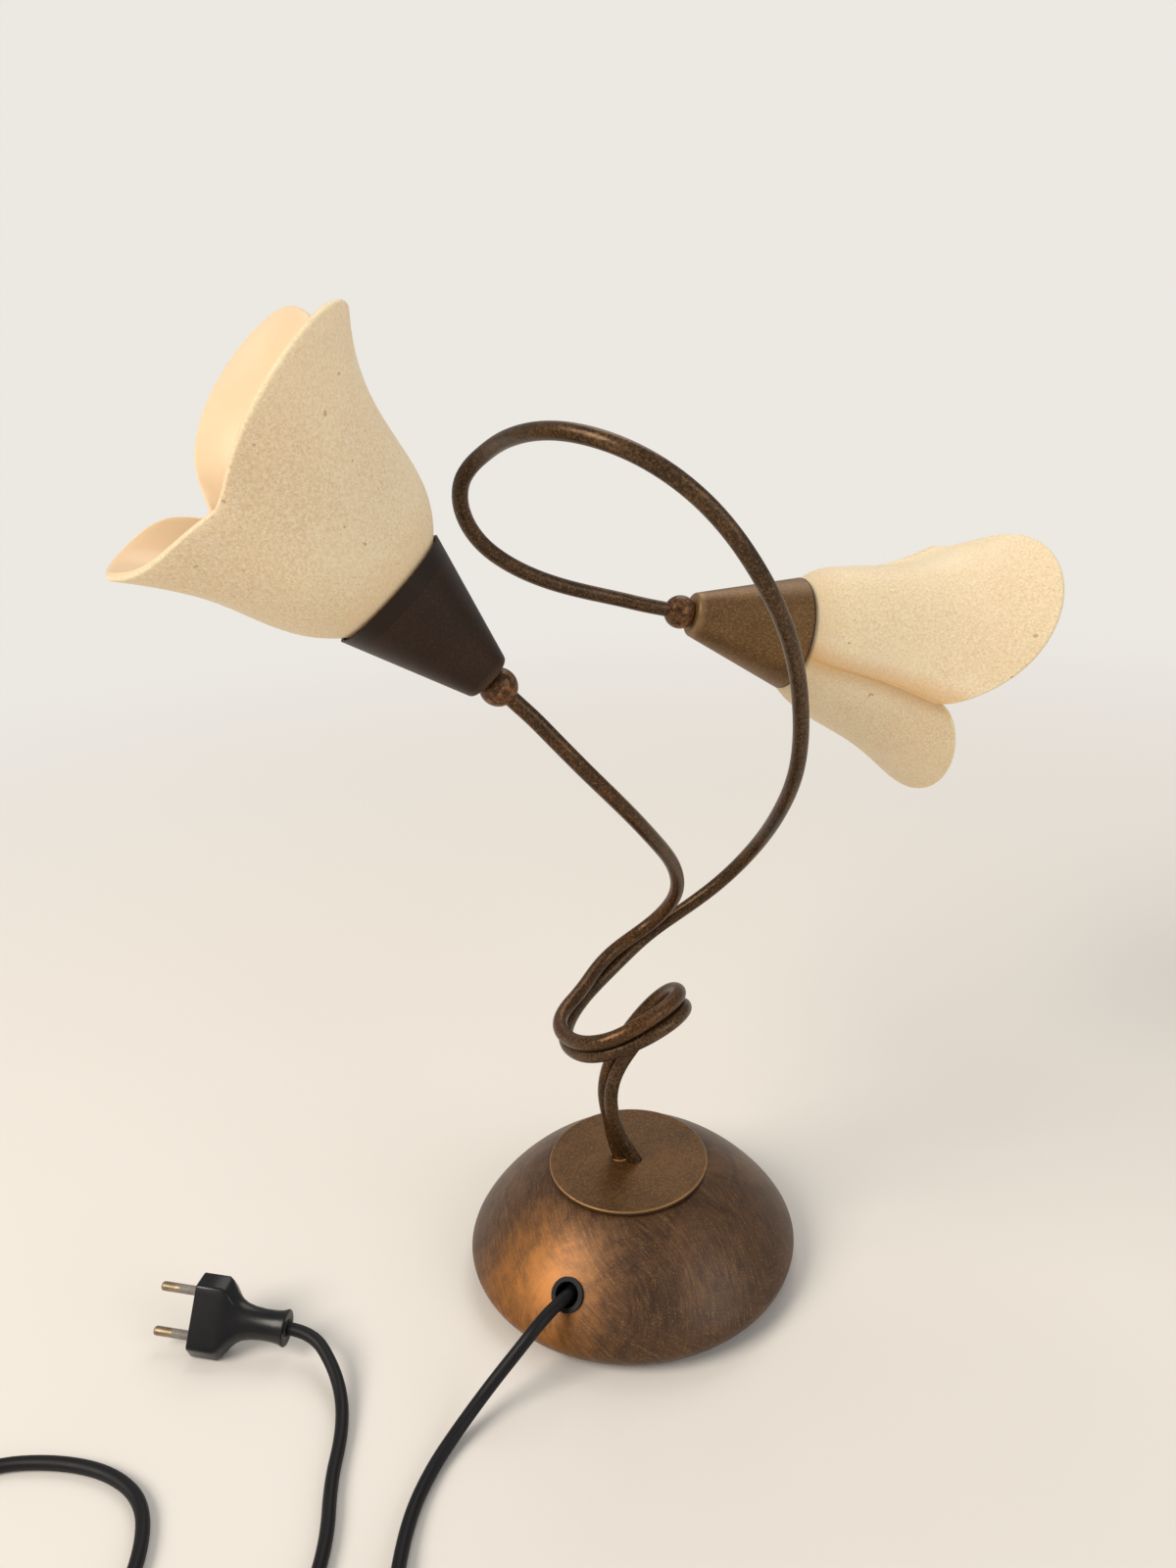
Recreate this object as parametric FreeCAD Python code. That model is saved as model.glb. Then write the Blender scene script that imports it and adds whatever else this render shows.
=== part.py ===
import FreeCAD, Part
import math
import os

# Table lamp with two tulip glass shades on curled tube arms.
# Frame: millimetres, +Z up, origin at the centre of the base's underside. The front is -Y.

V = FreeCAD.Vector

# ---- base: a spun steel dome with a flat disc on its crown
BASE_R = 77.0               # widest radius of the dome
BELLY_Z = 11.4              # height of the widest ring
FOOT_R = 62.0               # inner edge of the curled foot
BULGE = 1.58                # power of the dome's upper curve, 1 is round
DOME_STEPS = 14
FOOT_STEPS = 6
SHELL_T = 1.2
CROWN_R = 36.1              # flat top of the dome
CROWN_Z = 49.6
DISC_R = 37.1
DISC_T = 2.8
DISC_EDGE = 0.7             # rounding of the disc's upper edge
DISC_SHADOW = 0.9           # undercut below the disc's rim
DISC_SHADOW_W = 4.0
BOSS_R = 18.0               # boss of the disc in the dome's top hole
FIT = 0.1                   # clearance of parts that fit into each other
PLATE_R = 26.0              # clamp plate inside the crown
PLATE_T = 3.0
FELT_T = 1.5
FELT_R = 61.0
WEIGHT_R = 60.0
WEIGHT_T = 16.0
BOLT_D = 4.0
BOLT_CIRCLE_R = 13.0
BOLT_COUNT = 3
BOLT_FIRST = 20.0           # angle of the first bolt
BOLT_HEAD_D = 7.0
BOLT_HEAD_T = 3.0
WASHER_D = 9.0
WASHER_T = 0.8
SLEEVE_D = 8.0              # spacer tubes between the weight and the clamp plate
THREAD_SKIN = 1.2           # metal left over the blind threads in the disc

# ---- arms: two bent steel tubes side by side in the stem and the low coil
TUBE_D = 6.3
TUBE_WALL = 0.8
PAIR_GAP = 0.4
TUBE_TAIL = 11.0            # straight end of each tube below the disc's top
FOOT_WAY = (-0.44, 0.1, 0.89)
HEAD_STRAIGHT = 14.0        # straight end of each tube at its bead
TUBE_STOP = 1.5             # the tube ends this far before the bead's centre
LEAD_D = 3.0                # twin lead inside each tube
ARM_STEP = 17.0             # spacing of the arcs along a bent tube

# Bend points of the right arm's middle line, from the disc's top centre.
RIGHT_ARM = [
    (2.8, -1.8, 0), (-5, -2, 19.5), (-5, -2.5, 44), (8.5, -0.5, 65.5), (22, -8.5, 85),
    (26.5, -23.5, 93.5), (18.5, -38.5, 95), (-2.5, -43.5, 87.5), (-18.5, -32.5, 79.5),
    (-24.5, -19, 77.5), (-18, 6.5, 80.5), (-2, 25.5, 87), (15.5, 37, 97), (34.5, 38, 110),
    (51.5, 35.5, 124.5), (64, 26, 143), (71, 5, 167), (74.5, -15.5, 193.5), (72.5, -33, 224.5),
    (65, -50.5, 254), (53, -65, 279), (36, -70.5, 303), (13.5, -70, 321), (-10, -55, 329),
    (-27.5, -32, 327.5), (-40, -11.5, 321), (-50, -0.5, 310), (-49.5, 8, 294.5),
    (-36, 20, 277), (-13.5, 33, 264), (11.5, 43, 255)]
# Where the left arm lies beside the right one, at the right arm's first bend points.
PAIR_LAY = [
    (-9, 4, 0), (-4, 9, -1), (-4, 9, 1), (-6, 7, 4), (-3, 7, 7), (-3, 2, 9), (-3, 1, 9),
    (-3, -2, 9), (-3, 0, 9), (-3, 3, 8), (0, -1, 3), (-3, -1, 8), (-2, -4, 6)]
# Bend points of the left arm after it leaves the right one.
LEFT_ARM = [(27.5, 25.5, 121.5), (27, 12, 141.5), (18.5, -6.5, 162), (5, -24, 185),
            (-12, -33.5, 208)]

# ---- heads: place of each bead's centre from the disc's top, and the way the shade points
LEFT_BEAD = (-39.4, -36.4, 240.4)
LEFT_AXIS = (-0.66, -0.115, 0.743)
RIGHT_BEAD = (35.8, 47.7, 247.6)
RIGHT_AXIS = (0.936, 0.218, -0.277)
BEAD_D = 14.5
CUP_START = 5.0             # from the bead's centre to the cup's small end
CUP_LENGTH = 47.9
CUP_SMALL_R = 9.3
CUP_RIM_R = 25.0
CUP_WALL = 1.0
CUP_FLOOR = 1.2
CUP_ROUND = 2.0
NIPPLE_D = 8.0
NIPPLE_BORE = 4.4
NIPPLE_DEPTH = 4.0          # how far the nipple screws into the bead
NIPPLE_IN_HOLDER = 5.0
NUT_FLATS = 11.0
NUT_T = 3.0
HOLDER_NECK_D = 15.0
HOLDER_NECK_L = 5.5
HOLDER_CONE_L = 7.0
HOLDER_D = 26.0
HOLDER_FLANGE_D = 33.0
HOLDER_FLANGE_T = 1.5
HOLDER_SLEEVE_L = 7.0       # outer thread above the flange
HOLDER_FLOOR_L = 10.0       # solid bottom inside the body
CAP_D = 13.8                # the bulb's screw cap
CAP_L = 25.5
CAP_BORE_GAP = 0.6
CONTACT_T = 1.0
CONTACT_SHELL_UP = 5.0      # height of the threaded contact over the bore's floor
RING_D = 32.4               # ring nut that holds the glass
RING_L = 4.0
RING_GAP = 0.15
BULB_D = 40.0
BULB_L = 50.0               # glass bulb above its cap

# ---- glass shades: three petals each, pressed by hand, so every petal has its own sizes
GLASS_T = 3.0
GLASS_NECK_THICKEN = 1.2    # wall at the cup's rim, measured level, over GLASS_T
GLASS_NECK_R = 23.0         # outer radius of the glass at the cup's rim
GLASS_NECK_DEPTH = 6.0      # how far the neck stands in the cup
GLASS_SEAT_R = 18.4         # outer radius of the neck's flat bottom
GLASS_HOLE_R = 13.4
GLASS_RIM_ROUND = 1.5       # how far the rounded rim stands past the petal's edge
PETAL_COUNT = 3
PETAL_STEPS = 12            # stations across one petal
LEFT_GLASS = dict(
    low_r=42.0, mid_valley_r=35.9, mid_petal_r=37.8,
    high_valley_r=43.2, high_petal_r=44.1, notch_r=44.6,
    tip_r=(70.7, 90.0, 58.3), notch_h=(60.6, 55.3, 57.2), tip_h=(69.4, 90.8, 71.6),
    height_power=1.3, radius_power=1.9, turn=43.6)
RIGHT_GLASS = dict(
    low_r=42.8, mid_valley_r=28.1, mid_petal_r=36.2,
    high_valley_r=44.1, high_petal_r=51.2, notch_r=53.5,
    tip_r=(72.3, 60.3, 68.3), notch_h=(49.4, 54.9, 68.5), tip_h=(89.5, 76.3, 81.1),
    height_power=0.56, radius_power=1.5, turn=132.6)

# ---- mains cord, its grommet and what is inside the base
CORD_D = 5.4
GROMMET_ANGLE = -117.7      # round the base, degrees from +X
GROMMET_Z = 28.4
GROMMET_D = 14.4
GROMMET_NECK_D = 12.4
GROMMET_BORE = 10.6
GROMMET_LIP = 1.2
GROMMET_SAG = 0.6           # how far the dome curves away under the lips
CORD_CLAMP_SIZE = (24.0, 4.0, 2.0)
CORD_CLAMP_GAP = 0.15
TERMINAL_SIZE = (18.0, 24.0, 14.0)
TERMINAL_AT = (-30.0, -2.0)
TERMINAL_SCREW_D = 3.0
TERMINAL_FOOT = 4.0         # height of the block under its fixing screws' heads
SMALL_SCREW_DEPTH = 5.0     # of the fixing screws in the weight
SMALL_HEAD_T = 2.0
SMALL_SLOT_W = 0.8
CLAMP_RUN = 2               # the run of the inner cord that lies under the clamp
LEAD_HEIGHT = 3.6           # of the leads above the weight where they leave the block
LEAD_OFFSET = 3.0           # of each lead from the block's middle

# Route of the free cord, chosen by hand. It leaves the grommet and lies on the floor.
FLOOR_Z = CORD_D / 2
INNER_CORD = [
    (-30, -14, 20.4), (-30, -22.5, 20.4), (-27.3, -31, 20.4), (-24, -39, 20.6),
    (-23.2, -45.5, 22.6), (-25.2, -50.4, 26.6), (-33.2, -61.4, 28.7)]
CORD_TO_SWITCH = [
    (-33.2, -61.4, 28.7), (-37.2, -66.9, 29.75), (-43.5, -74, 28), (-50.5, -79, 22.5),
    (-58.5, -84, 16), (-67, -90.5, 9.5), (-76.5, -101, 4.3), (-84.5, -114.5, FLOOR_Z),
    (-90.5, -132, FLOOR_Z), (-92.5, -153, 3.2)]
CORD_TO_COIL = [
    (-106, -273, 3.4), (-124, -286.5, FLOOR_Z), (-152, -292.5, FLOOR_Z),
    (-185, -291, FLOOR_Z)]
CORD_FROM_COIL = [
    (-283.5, -235, 5.2), (-294.5, -207, FLOOR_Z), (-301.5, -174, FLOOR_Z),
    (-302, -141, FLOOR_Z), (-289, -115, FLOOR_Z), (-264, -102, FLOOR_Z),
    (-237, -102, FLOOR_Z), (-212, -108.5, FLOOR_Z), (-194, -122, FLOOR_Z),
    (-187.5, -144, FLOOR_Z), (-190, -168, FLOOR_Z), (-179, -191, FLOOR_Z),
    (-156, -198, FLOOR_Z), (-134, -187, FLOOR_Z), (-122.5, -166, FLOOR_Z),
    (-120, -142, FLOOR_Z), (-123.5, -118, FLOOR_Z), (-123, -98, FLOOR_Z),
    (-125.5, -82, 4.2), (-131.5, -68.5, 8.0)]

# ---- inline switch on the cord
SWITCH_AT = (-95.0, -215.0)
SWITCH_HEADING = -95.0
SWITCH_L = 62.0
SWITCH_W = 26.0
SWITCH_H = 18.0
SWITCH_END_W = 13.0
SWITCH_WALL = 1.8
SWITCH_SPLIT = 0.5          # share of the height that is the lower half
SWITCH_ROUND = 2.5
ROCKER_L = 17.0
ROCKER_W = 9.0
ROCKER_PROUD = 2.2
ROCKER_GAP = 0.5
ROCKER_TILT = 8.0           # half of the rocker's travel, degrees
ROCKER_PIN_D = 2.4
ROCKER_PIN_Z = 13.0
ROCKER_LUG_T = 2.5
SWITCH_SCREW_D = 3.0
SWITCH_SCREW_AT = 21.0
SWITCH_SCREW_L = 11.0
SWITCH_SCREW_SEAT = 2.4
SWITCH_POST_D = 7.6
SWITCH_CORD_Z = 5.5
SWITCH_RUN = 12.0           # straight cord at each end of the switch

# ---- coil of the spare cord
COIL_AT = (-230.0, -250.0)
COIL_OUT_R = 38.0
COIL_PITCH = 6.6
COIL_FULL_TURNS = 4
COIL_SPAN = 0.25            # turns between the coil's arc joints
COIL_START = 270.0          # angle where the cord enters the coil, degrees
COIL_END = 215.0            # angle where it leaves
COIL_LAYER = 6.0            # height of the upper layer over the lower one
COIL_BLEND = 0.25           # turns before and after the reversal in which the coil climbs
COIL_FLAT = 0.5             # the coil is cut flat where it lies on the floor

# ---- two-pin plug lying on its side facet
PLUG_FACE_AT = (-196.2, -42.8)
PLUG_HEADING = 168.0        # the way its pins point
PLUG_RISE = 3.0
PLUG_LEAN = 56.0            # slope of its large flat to the floor
PLUG_W = 35.3
PLUG_T = 13.7
PLUG_FLAT = 26.1
PLUG_BODY_L = 15.0
PLUG_NECK_L = 28.0
PLUG_NECK_R = (6.2, 4.4, 5.6)
PLUG_ROUND = 1.2
PLUG_NECK_ROOT = 2.0        # how far the neck starts inside the body
PLUG_RUN = 12.0             # straight cord at the plug
PIN_CORE_D = 2.8
PIN_ROOT = 8.0              # length of the pins inside the plug
PIN_D = 4.0
PIN_L = 19.0
PIN_SLEEVE_L = 10.0
PIN_SPACING_ROOT = 18.6

# ---- sizes that follow from the ones above
DISC_TOP_Z = CROWN_Z + DISC_T
CROWN_UNDER_Z = CROWN_Z - SHELL_T
PLATE_UNDER_Z = CROWN_UNDER_Z - PLATE_T
WEIGHT_TOP_Z = FELT_T + WEIGHT_T
CUP_RIM_Z = CUP_START + CUP_LENGTH
NUT_Z = CUP_START + CUP_FLOOR
HOLDER_Z = NUT_Z + NUT_T
GLASS_SEAT_Z = CUP_RIM_Z - GLASS_NECK_DEPTH
HOLDER_FLANGE_Z = GLASS_SEAT_Z - HOLDER_FLANGE_T
HOLDER_BORE_Z = HOLDER_Z + HOLDER_NECK_L + HOLDER_CONE_L + HOLDER_FLOOR_L / 2
CAP_Z = HOLDER_BORE_Z + 2 * CONTACT_T
HOLDER_BORE_R = CAP_D / 2 + CAP_BORE_GAP
NIPPLE_TOP_Z = HOLDER_Z + NIPPLE_IN_HOLDER
LEAD_END_Z = NIPPLE_TOP_Z + 3 * FIT
BOSS_Z = CROWN_UNDER_Z + FIT
BOLT_END_Z = DISC_TOP_Z - THREAD_SKIN
WASHER_Z = FELT_T + BOLT_HEAD_T + FIT


def point(values):
    return V(float(values[0]), float(values[1]), float(values[2]))


def unit(values):
    direction = point(values)
    return direction.normalize()


def above_disc(values):
    return point(values) + V(0, 0, DISC_TOP_Z)


# ---- shared shapes

def disc(radius, z, height, x=0.0, y=0.0):
    return Part.makeCylinder(radius, height, V(x, y, z))


def ring(outer, inner, z, height, x=0.0, y=0.0):
    return disc(outer, z, height, x, y).cut(disc(inner, z, height, x, y))


def rod(start, end, radius):
    along = end - start
    return Part.makeCylinder(radius, along.Length, start, along)


def turned(outline):
    """Solid of revolution about Z; outline is a list of (radius, z)."""
    corners = [V(r, 0, z) for r, z in outline]
    wire = Part.makePolygon(corners + corners[:1])
    return Part.Face(wire).revolve(V(0, 0, 0), V(0, 0, 1), 360)


def block(size, x, y, z):
    """Box centred on x and y that stands on z."""
    return Part.makeBox(size[0], size[1], size[2], V(x - size[0] / 2, y - size[1] / 2, z))


def round_places(count, radius, first=90.0):
    for k in range(count):
        angle = math.radians(first + 360.0 * k / count)
        yield radius * math.cos(angle), radius * math.sin(angle)


def placed(shape, origin, along, x_axis=None):
    """A shape made along +Z, moved so that its Z lies along the given direction."""
    z_axis = V(along).normalize()
    side = V(0, 0, 1).cross(z_axis) if x_axis is None else V(x_axis)
    side = (side - z_axis * side.dot(z_axis)).normalize()
    up = z_axis.cross(side)
    matrix = FreeCAD.Matrix(side.x, up.x, z_axis.x, origin.x,
                            side.y, up.y, z_axis.y, origin.y,
                            side.z, up.z, z_axis.z, origin.z, 0, 0, 0, 1)
    moved = shape.copy()
    moved.Placement = FreeCAD.Placement(matrix).multiply(shape.Placement)
    return moved


# ---- tubes and cords

def arc(start, corner, end):
    """Arc from start to end, tangent to both lines through the corner."""
    chord_mid = (start + end) * 0.5
    height = corner - chord_mid
    half = math.atan2(height.Length, (end - start).Length / 2)
    if half < 1e-4:
        return Part.LineSegment(start, end)
    middle = chord_mid + height * (math.tan(half / 2) / math.tan(half))
    return Part.Arc(start, middle, end)


def biarc(start, start_way, end, end_way):
    """Two arcs that meet smoothly and have the given directions at their ends."""
    chord = end - start
    both = start_way + end_way
    a = 2 * (start_way.dot(end_way) - 1)
    b = -2 * chord.dot(both)
    c = chord.dot(chord)
    if abs(a) < 1e-9:
        reach = -c / b
    else:
        reach = (-b - math.sqrt(b * b - 4 * a * c)) / (2 * a)
    first = start + start_way * reach
    second = end - end_way * reach
    middle = (first + second) * 0.5
    return [arc(start, first, middle), arc(middle, second, end)]


def smooth_arcs(points, ways):
    curves = []
    for k in range(len(points) - 1):
        curves += biarc(points[k], ways[k], points[k + 1], ways[k + 1])
    return curves


def wire_of(curves):
    return Part.Wire([curve.toShape() for curve in curves])


def sweep(wire, radius, bore=0.0):
    """Round tube along a wire, hollow where a bore is given."""
    edge = wire.OrderedEdges[0]
    start = edge.valueAt(edge.FirstParameter)
    way = edge.tangentAt(edge.FirstParameter)
    path = Part.Wire(wire.OrderedEdges)
    circle = Part.Wire(Part.Circle(start, way, radius).toShape())
    if not bore:
        return path.makePipeShell([circle], True, False)
    hole = Part.Wire(Part.Circle(start, way, bore).toShape())
    section = Part.Face(circle).cut(Part.Face(hole)).Faces[0]
    return path.makePipe(section)


def route_wire(points, name):
    """Straight runs joined by tangent arcs, as large as the runs allow."""
    curves = []
    radii = []
    start = points[0]
    for before, corner, after in zip(points, points[1:], points[2:]):
        way_in = (corner - before).normalize()
        way_out = (after - corner).normalize()
        half_turn = way_in.getAngle(way_out) / 2
        reach = 0.45 * min((corner - before).Length, (after - corner).Length)
        radii.append(reach / math.tan(half_turn))
        curves.append(Part.LineSegment(start, corner - way_in * reach))
        curves.append(arc(corner - way_in * reach, corner, corner + way_out * reach))
        start = corner + way_out * reach
    curves.append(Part.LineSegment(start, points[-1]))
    print(name, "radii", " ".join("%.0f" % r for r in radii))
    return wire_of(curves)


def cord_along(wire, name):
    solid = sweep(wire, CORD_D / 2)
    section = math.pi * CORD_D ** 2 / 4
    print(name, "length %.1f, volume over section by length %.4f"
          % (wire.Length, solid.Volume / (section * wire.Length)))
    return solid


# ---- arms

def bent_curve(points, bead, axis):
    """Smooth curve through the bend points that ends along the head's axis."""
    ends = [bead - axis * HEAD_STRAIGHT, bead - axis * TUBE_STOP]
    curve = Part.BSplineCurve()
    curve.interpolate(points + ends)
    return curve


def direction_at(curve, parameter):
    return V(*curve.tangent(parameter)[0]).normalize()


def beside(curve, lay_list, distance):
    """Points beside the curve at its first bend points and half way between them."""
    knots = curve.getKnots()
    points = []
    for k, lay in enumerate(lay_list):
        places = [(knots[k], point(lay))]
        if k + 1 < len(lay_list):
            mean = (unit(lay) + unit(lay_list[k + 1])) * 0.5
            places.append(((knots[k] + knots[k + 1]) / 2, mean))
        for parameter, side in places:
            way = direction_at(curve, parameter)
            side = (side - way * side.dot(way)).normalize()
            points.append(curve.value(parameter) + side * distance)
    return points


def arm_arcs(curve, foot_way, bead, axis):
    """Straight tail, arcs at even steps along the curve, straight end into the bead."""
    total = curve.length(curve.FirstParameter, curve.getKnots()[-2])
    count = int(round(total / ARM_STEP))
    points = []
    ways = []
    for k in range(count + 1):
        parameter = curve.parameterAtDistance(total * k / count, curve.FirstParameter)
        points.append(curve.value(parameter))
        ways.append(direction_at(curve, parameter))
    ways[0] = foot_way
    ways[-1] = axis
    tail = points[0] - foot_way * TUBE_TAIL
    stop = bead - axis * TUBE_STOP
    return ([Part.LineSegment(tail, points[0])] + smooth_arcs(points, ways)
            + [Part.LineSegment(points[-1], stop)])


FOOT = unit(FOOT_WAY)
HEADS = {}
for side, bead, axis in (("left", LEFT_BEAD, LEFT_AXIS), ("right", RIGHT_BEAD, RIGHT_AXIS)):
    HEADS[side] = (above_disc(bead), unit(axis))

right_bead, right_axis = HEADS["right"]
left_bead, left_axis = HEADS["left"]
right_curve = bent_curve([above_disc(p) for p in RIGHT_ARM], right_bead, right_axis)
left_points = beside(right_curve, PAIR_LAY, TUBE_D + PAIR_GAP)
left_points += [above_disc(p) for p in LEFT_ARM]
left_curve = bent_curve(left_points, left_bead, left_axis)
ARM_CURVES = {
    "left": arm_arcs(left_curve, FOOT, left_bead, left_axis),
    "right": arm_arcs(right_curve, FOOT, right_bead, right_axis)}
FEET = {side: curves[0].StartPoint for side, curves in ARM_CURVES.items()}


def arm_tube(side):
    wire = wire_of(ARM_CURVES[side])
    print(side, "arm length %.1f" % wire.Length)
    return sweep(wire, TUBE_D / 2, TUBE_D / 2 - TUBE_WALL)


def lead(side, block_side):
    """Lead from the terminal block through the arm to the lampholder."""
    start = V(TERMINAL_AT[0] + TERMINAL_SIZE[0] / 2,
              TERMINAL_AT[1] + block_side * LEAD_OFFSET, WEIGHT_TOP_Z + LEAD_HEIGHT)
    bead, axis = HEADS[side]
    curves = biarc(start, V(1, 0, 0), FEET[side], FOOT) + ARM_CURVES[side]
    last = bead + axis * LEAD_END_Z
    curves = curves + [Part.LineSegment(curves[-1].EndPoint, last)]
    return sweep(wire_of(curves), LEAD_D / 2)


# ---- base

def dome_curve(inset):
    """The dome's upper outline from the crown to the belly, moved inwards."""
    stations = []
    for k in range(DOME_STEPS + 1):
        t = math.pi / 2 * (1 - k / DOME_STEPS)
        c = abs(math.cos(t))
        s = abs(math.sin(t))
        r = CROWN_R + (BASE_R - CROWN_R) * c ** BULGE
        z = BELLY_Z + (CROWN_Z - BELLY_Z) * s ** BULGE
        outward = (CROWN_Z - BELLY_Z) * c ** (2 - BULGE)
        upward = (BASE_R - CROWN_R) * s ** (2 - BULGE)
        normal = V(outward, 0, upward).normalize()
        stations.append(V(r, 0, z) - normal * inset)
    curve = Part.BSplineCurve()
    curve.interpolate(stations)
    return curve


def foot_curve(inset):
    """The curled foot from the belly to the inner edge of the underside."""
    rx = BASE_R - FOOT_R - inset
    rz = BELLY_Z - inset
    stations = []
    for k in range(FOOT_STEPS + 1):
        t = math.pi / 2 * k / FOOT_STEPS
        stations.append(V(FOOT_R + rx * math.cos(t), 0, BELLY_Z - rz * math.sin(t)))
    curve = Part.BSplineCurve()
    curve.interpolate(stations)
    return curve


def revolved(curves, corners):
    """Solid of revolution of curves and of lines through the corners that close them."""
    edges = [curve.toShape() for curve in curves]
    for start, end in zip(corners, corners[1:]):
        edges.append(Part.LineSegment(start, end).toShape())
    solid = Part.Face(Part.Wire(edges)).revolve(V(0, 0, 0), V(0, 0, 1), 360)
    if solid.Volume < 0:
        solid.reverse()
    return solid


def dome_solid(inset):
    """The filled dome, moved inwards by the inset."""
    upper = dome_curve(inset)
    foot = foot_curve(inset)
    top = upper.value(upper.FirstParameter)
    edge = foot.value(foot.LastParameter)
    corners = [edge, V(FOOT_R, 0, 0), V(0, 0, 0), V(0, 0, top.z), top]
    if inset == 0:
        corners = corners[1:]
    return revolved([upper, foot], corners)


def base_shell():
    shell = dome_solid(0).cut(dome_solid(SHELL_T))
    shell = shell.cut(disc(BOSS_R + FIT, 0, CROWN_Z))
    centre, normal = grommet_place()
    hole = rod(centre - normal * CORD_D, centre + normal * CORD_D, GROMMET_NECK_D / 2 + FIT)
    return shell.cut(hole)


def grommet_place():
    """Centre of the grommet on the dome and the dome's normal there."""
    curve = dome_curve(0)
    low = curve.FirstParameter
    high = curve.LastParameter
    while high - low > 1e-6:
        middle = (low + high) / 2
        if curve.value(middle).z > GROMMET_Z:
            low = middle
        else:
            high = middle
    on_curve = curve.value(low)
    way = direction_at(curve, low)
    turn = FreeCAD.Rotation(V(0, 0, 1), GROMMET_ANGLE)
    return turn.multVec(on_curve), turn.multVec(V(-way.z, 0, way.x))


def cord_grommet():
    centre, normal = grommet_place()
    neck_r = GROMMET_NECK_D / 2
    lip_r = GROMMET_D / 2
    outside = rod(centre - normal * GROMMET_SAG, centre + normal * GROMMET_LIP, lip_r)
    inside = rod(centre - normal * (SHELL_T + GROMMET_SAG + GROMMET_LIP), centre, lip_r)
    neck = rod(centre - normal * (SHELL_T + GROMMET_LIP), centre + normal * GROMMET_LIP, neck_r)
    body = outside.cut(dome_solid(0)).fuse(inside.common(dome_solid(SHELL_T))).fuse(neck)
    bore = rod(centre - normal * GROMMET_D, centre + normal * GROMMET_D, GROMMET_BORE / 2)
    return body.cut(bore).removeSplitter()


def tube_holes(radius):
    """Bores for both tubes, with the thin wall between them taken away."""
    middle = (FEET["left"] + FEET["right"]) * 0.5
    holes = [rod(middle - FOOT * TUBE_TAIL, middle + FOOT * 2 * TUBE_TAIL, TUBE_D / 4)]
    for foot in FEET.values():
        holes.append(rod(foot - FOOT * TUBE_TAIL, foot + FOOT * 2 * TUBE_TAIL, radius))
    return holes[0].fuse(holes[1:])


def bolt_places():
    return list(round_places(BOLT_COUNT, BOLT_CIRCLE_R, BOLT_FIRST))


def base_disc():
    groove_r = DISC_R - DISC_SHADOW_W
    outline = [(0, BOSS_Z), (BOSS_R, BOSS_Z), (BOSS_R, CROWN_Z), (groove_r, CROWN_Z),
               (groove_r, CROWN_Z + DISC_SHADOW), (DISC_R, CROWN_Z + DISC_SHADOW),
               (DISC_R, DISC_TOP_Z), (0, DISC_TOP_Z)]
    plate = turned(outline)
    rim = [edge for edge in plate.Edges
           if edge.BoundBox.ZMin > DISC_TOP_Z - FIT and edge.Length > math.pi * DISC_R]
    plate = plate.makeFillet(DISC_EDGE, rim)
    for x, y in bolt_places():
        plate = plate.cut(disc(BOLT_D / 2, BOSS_Z, BOLT_END_Z - BOSS_Z, x, y))
    return plate.cut(tube_holes(TUBE_D / 2 + FIT))


def clamp_plate():
    plate = disc(PLATE_R, PLATE_UNDER_Z, PLATE_T)
    for x, y in bolt_places():
        plate = plate.cut(disc(BOLT_D / 2 + FIT, PLATE_UNDER_Z, PLATE_T, x, y))
    return plate.cut(tube_holes(TUBE_D / 2))


def base_weight():
    weight = disc(WEIGHT_R, FELT_T, WEIGHT_T)
    for x, y in bolt_places():
        weight = weight.cut(disc(BOLT_D / 2 + FIT, FELT_T, WEIGHT_T, x, y))
        weight = weight.cut(disc(WASHER_D / 2 + FIT, FELT_T, WASHER_Z + WASHER_T - FELT_T, x, y))
    for x, y, depth in small_screw_places():
        weight = weight.cut(disc(TERMINAL_SCREW_D / 2, WEIGHT_TOP_Z - depth, depth, x, y))
    return weight


def base_bolts():
    bolts = []
    for x, y in bolt_places():
        head = disc(BOLT_HEAD_D / 2, WASHER_Z - BOLT_HEAD_T, BOLT_HEAD_T, x, y)
        socket = Part.makeCylinder(BOLT_D / 3, BOLT_HEAD_T / 2, V(x, y, WASHER_Z - BOLT_HEAD_T))
        shank = disc(BOLT_D / 2, WASHER_Z, BOLT_END_Z - WASHER_Z, x, y)
        bolts.append(head.fuse(shank).cut(socket))
    return Part.makeCompound(bolts)


def small_screw_places():
    """Centres and depths of the screws that stand in the weight's top."""
    places = []
    for x in (-1, 1):
        centre = clamp_centre() + clamp_side() * (x * CORD_CLAMP_SIZE[0] * 0.36)
        places.append((centre.x, centre.y, SMALL_SCREW_DEPTH))
    x, y = TERMINAL_AT
    for side in (-1, 1):
        places.append((x, y + side * TERMINAL_SIZE[1] * 0.36, SMALL_SCREW_DEPTH))
    return places


def clamp_run():
    """Ends of the cord's straight run under the clamp."""
    points = [point(p) for p in INNER_CORD]
    return points[CLAMP_RUN], points[CLAMP_RUN + 1]


def clamp_centre():
    start, end = clamp_run()
    return (start + end) * 0.5


def clamp_side():
    start, end = clamp_run()
    way = end - start
    return V(way.y, -way.x, 0).normalize()


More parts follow.
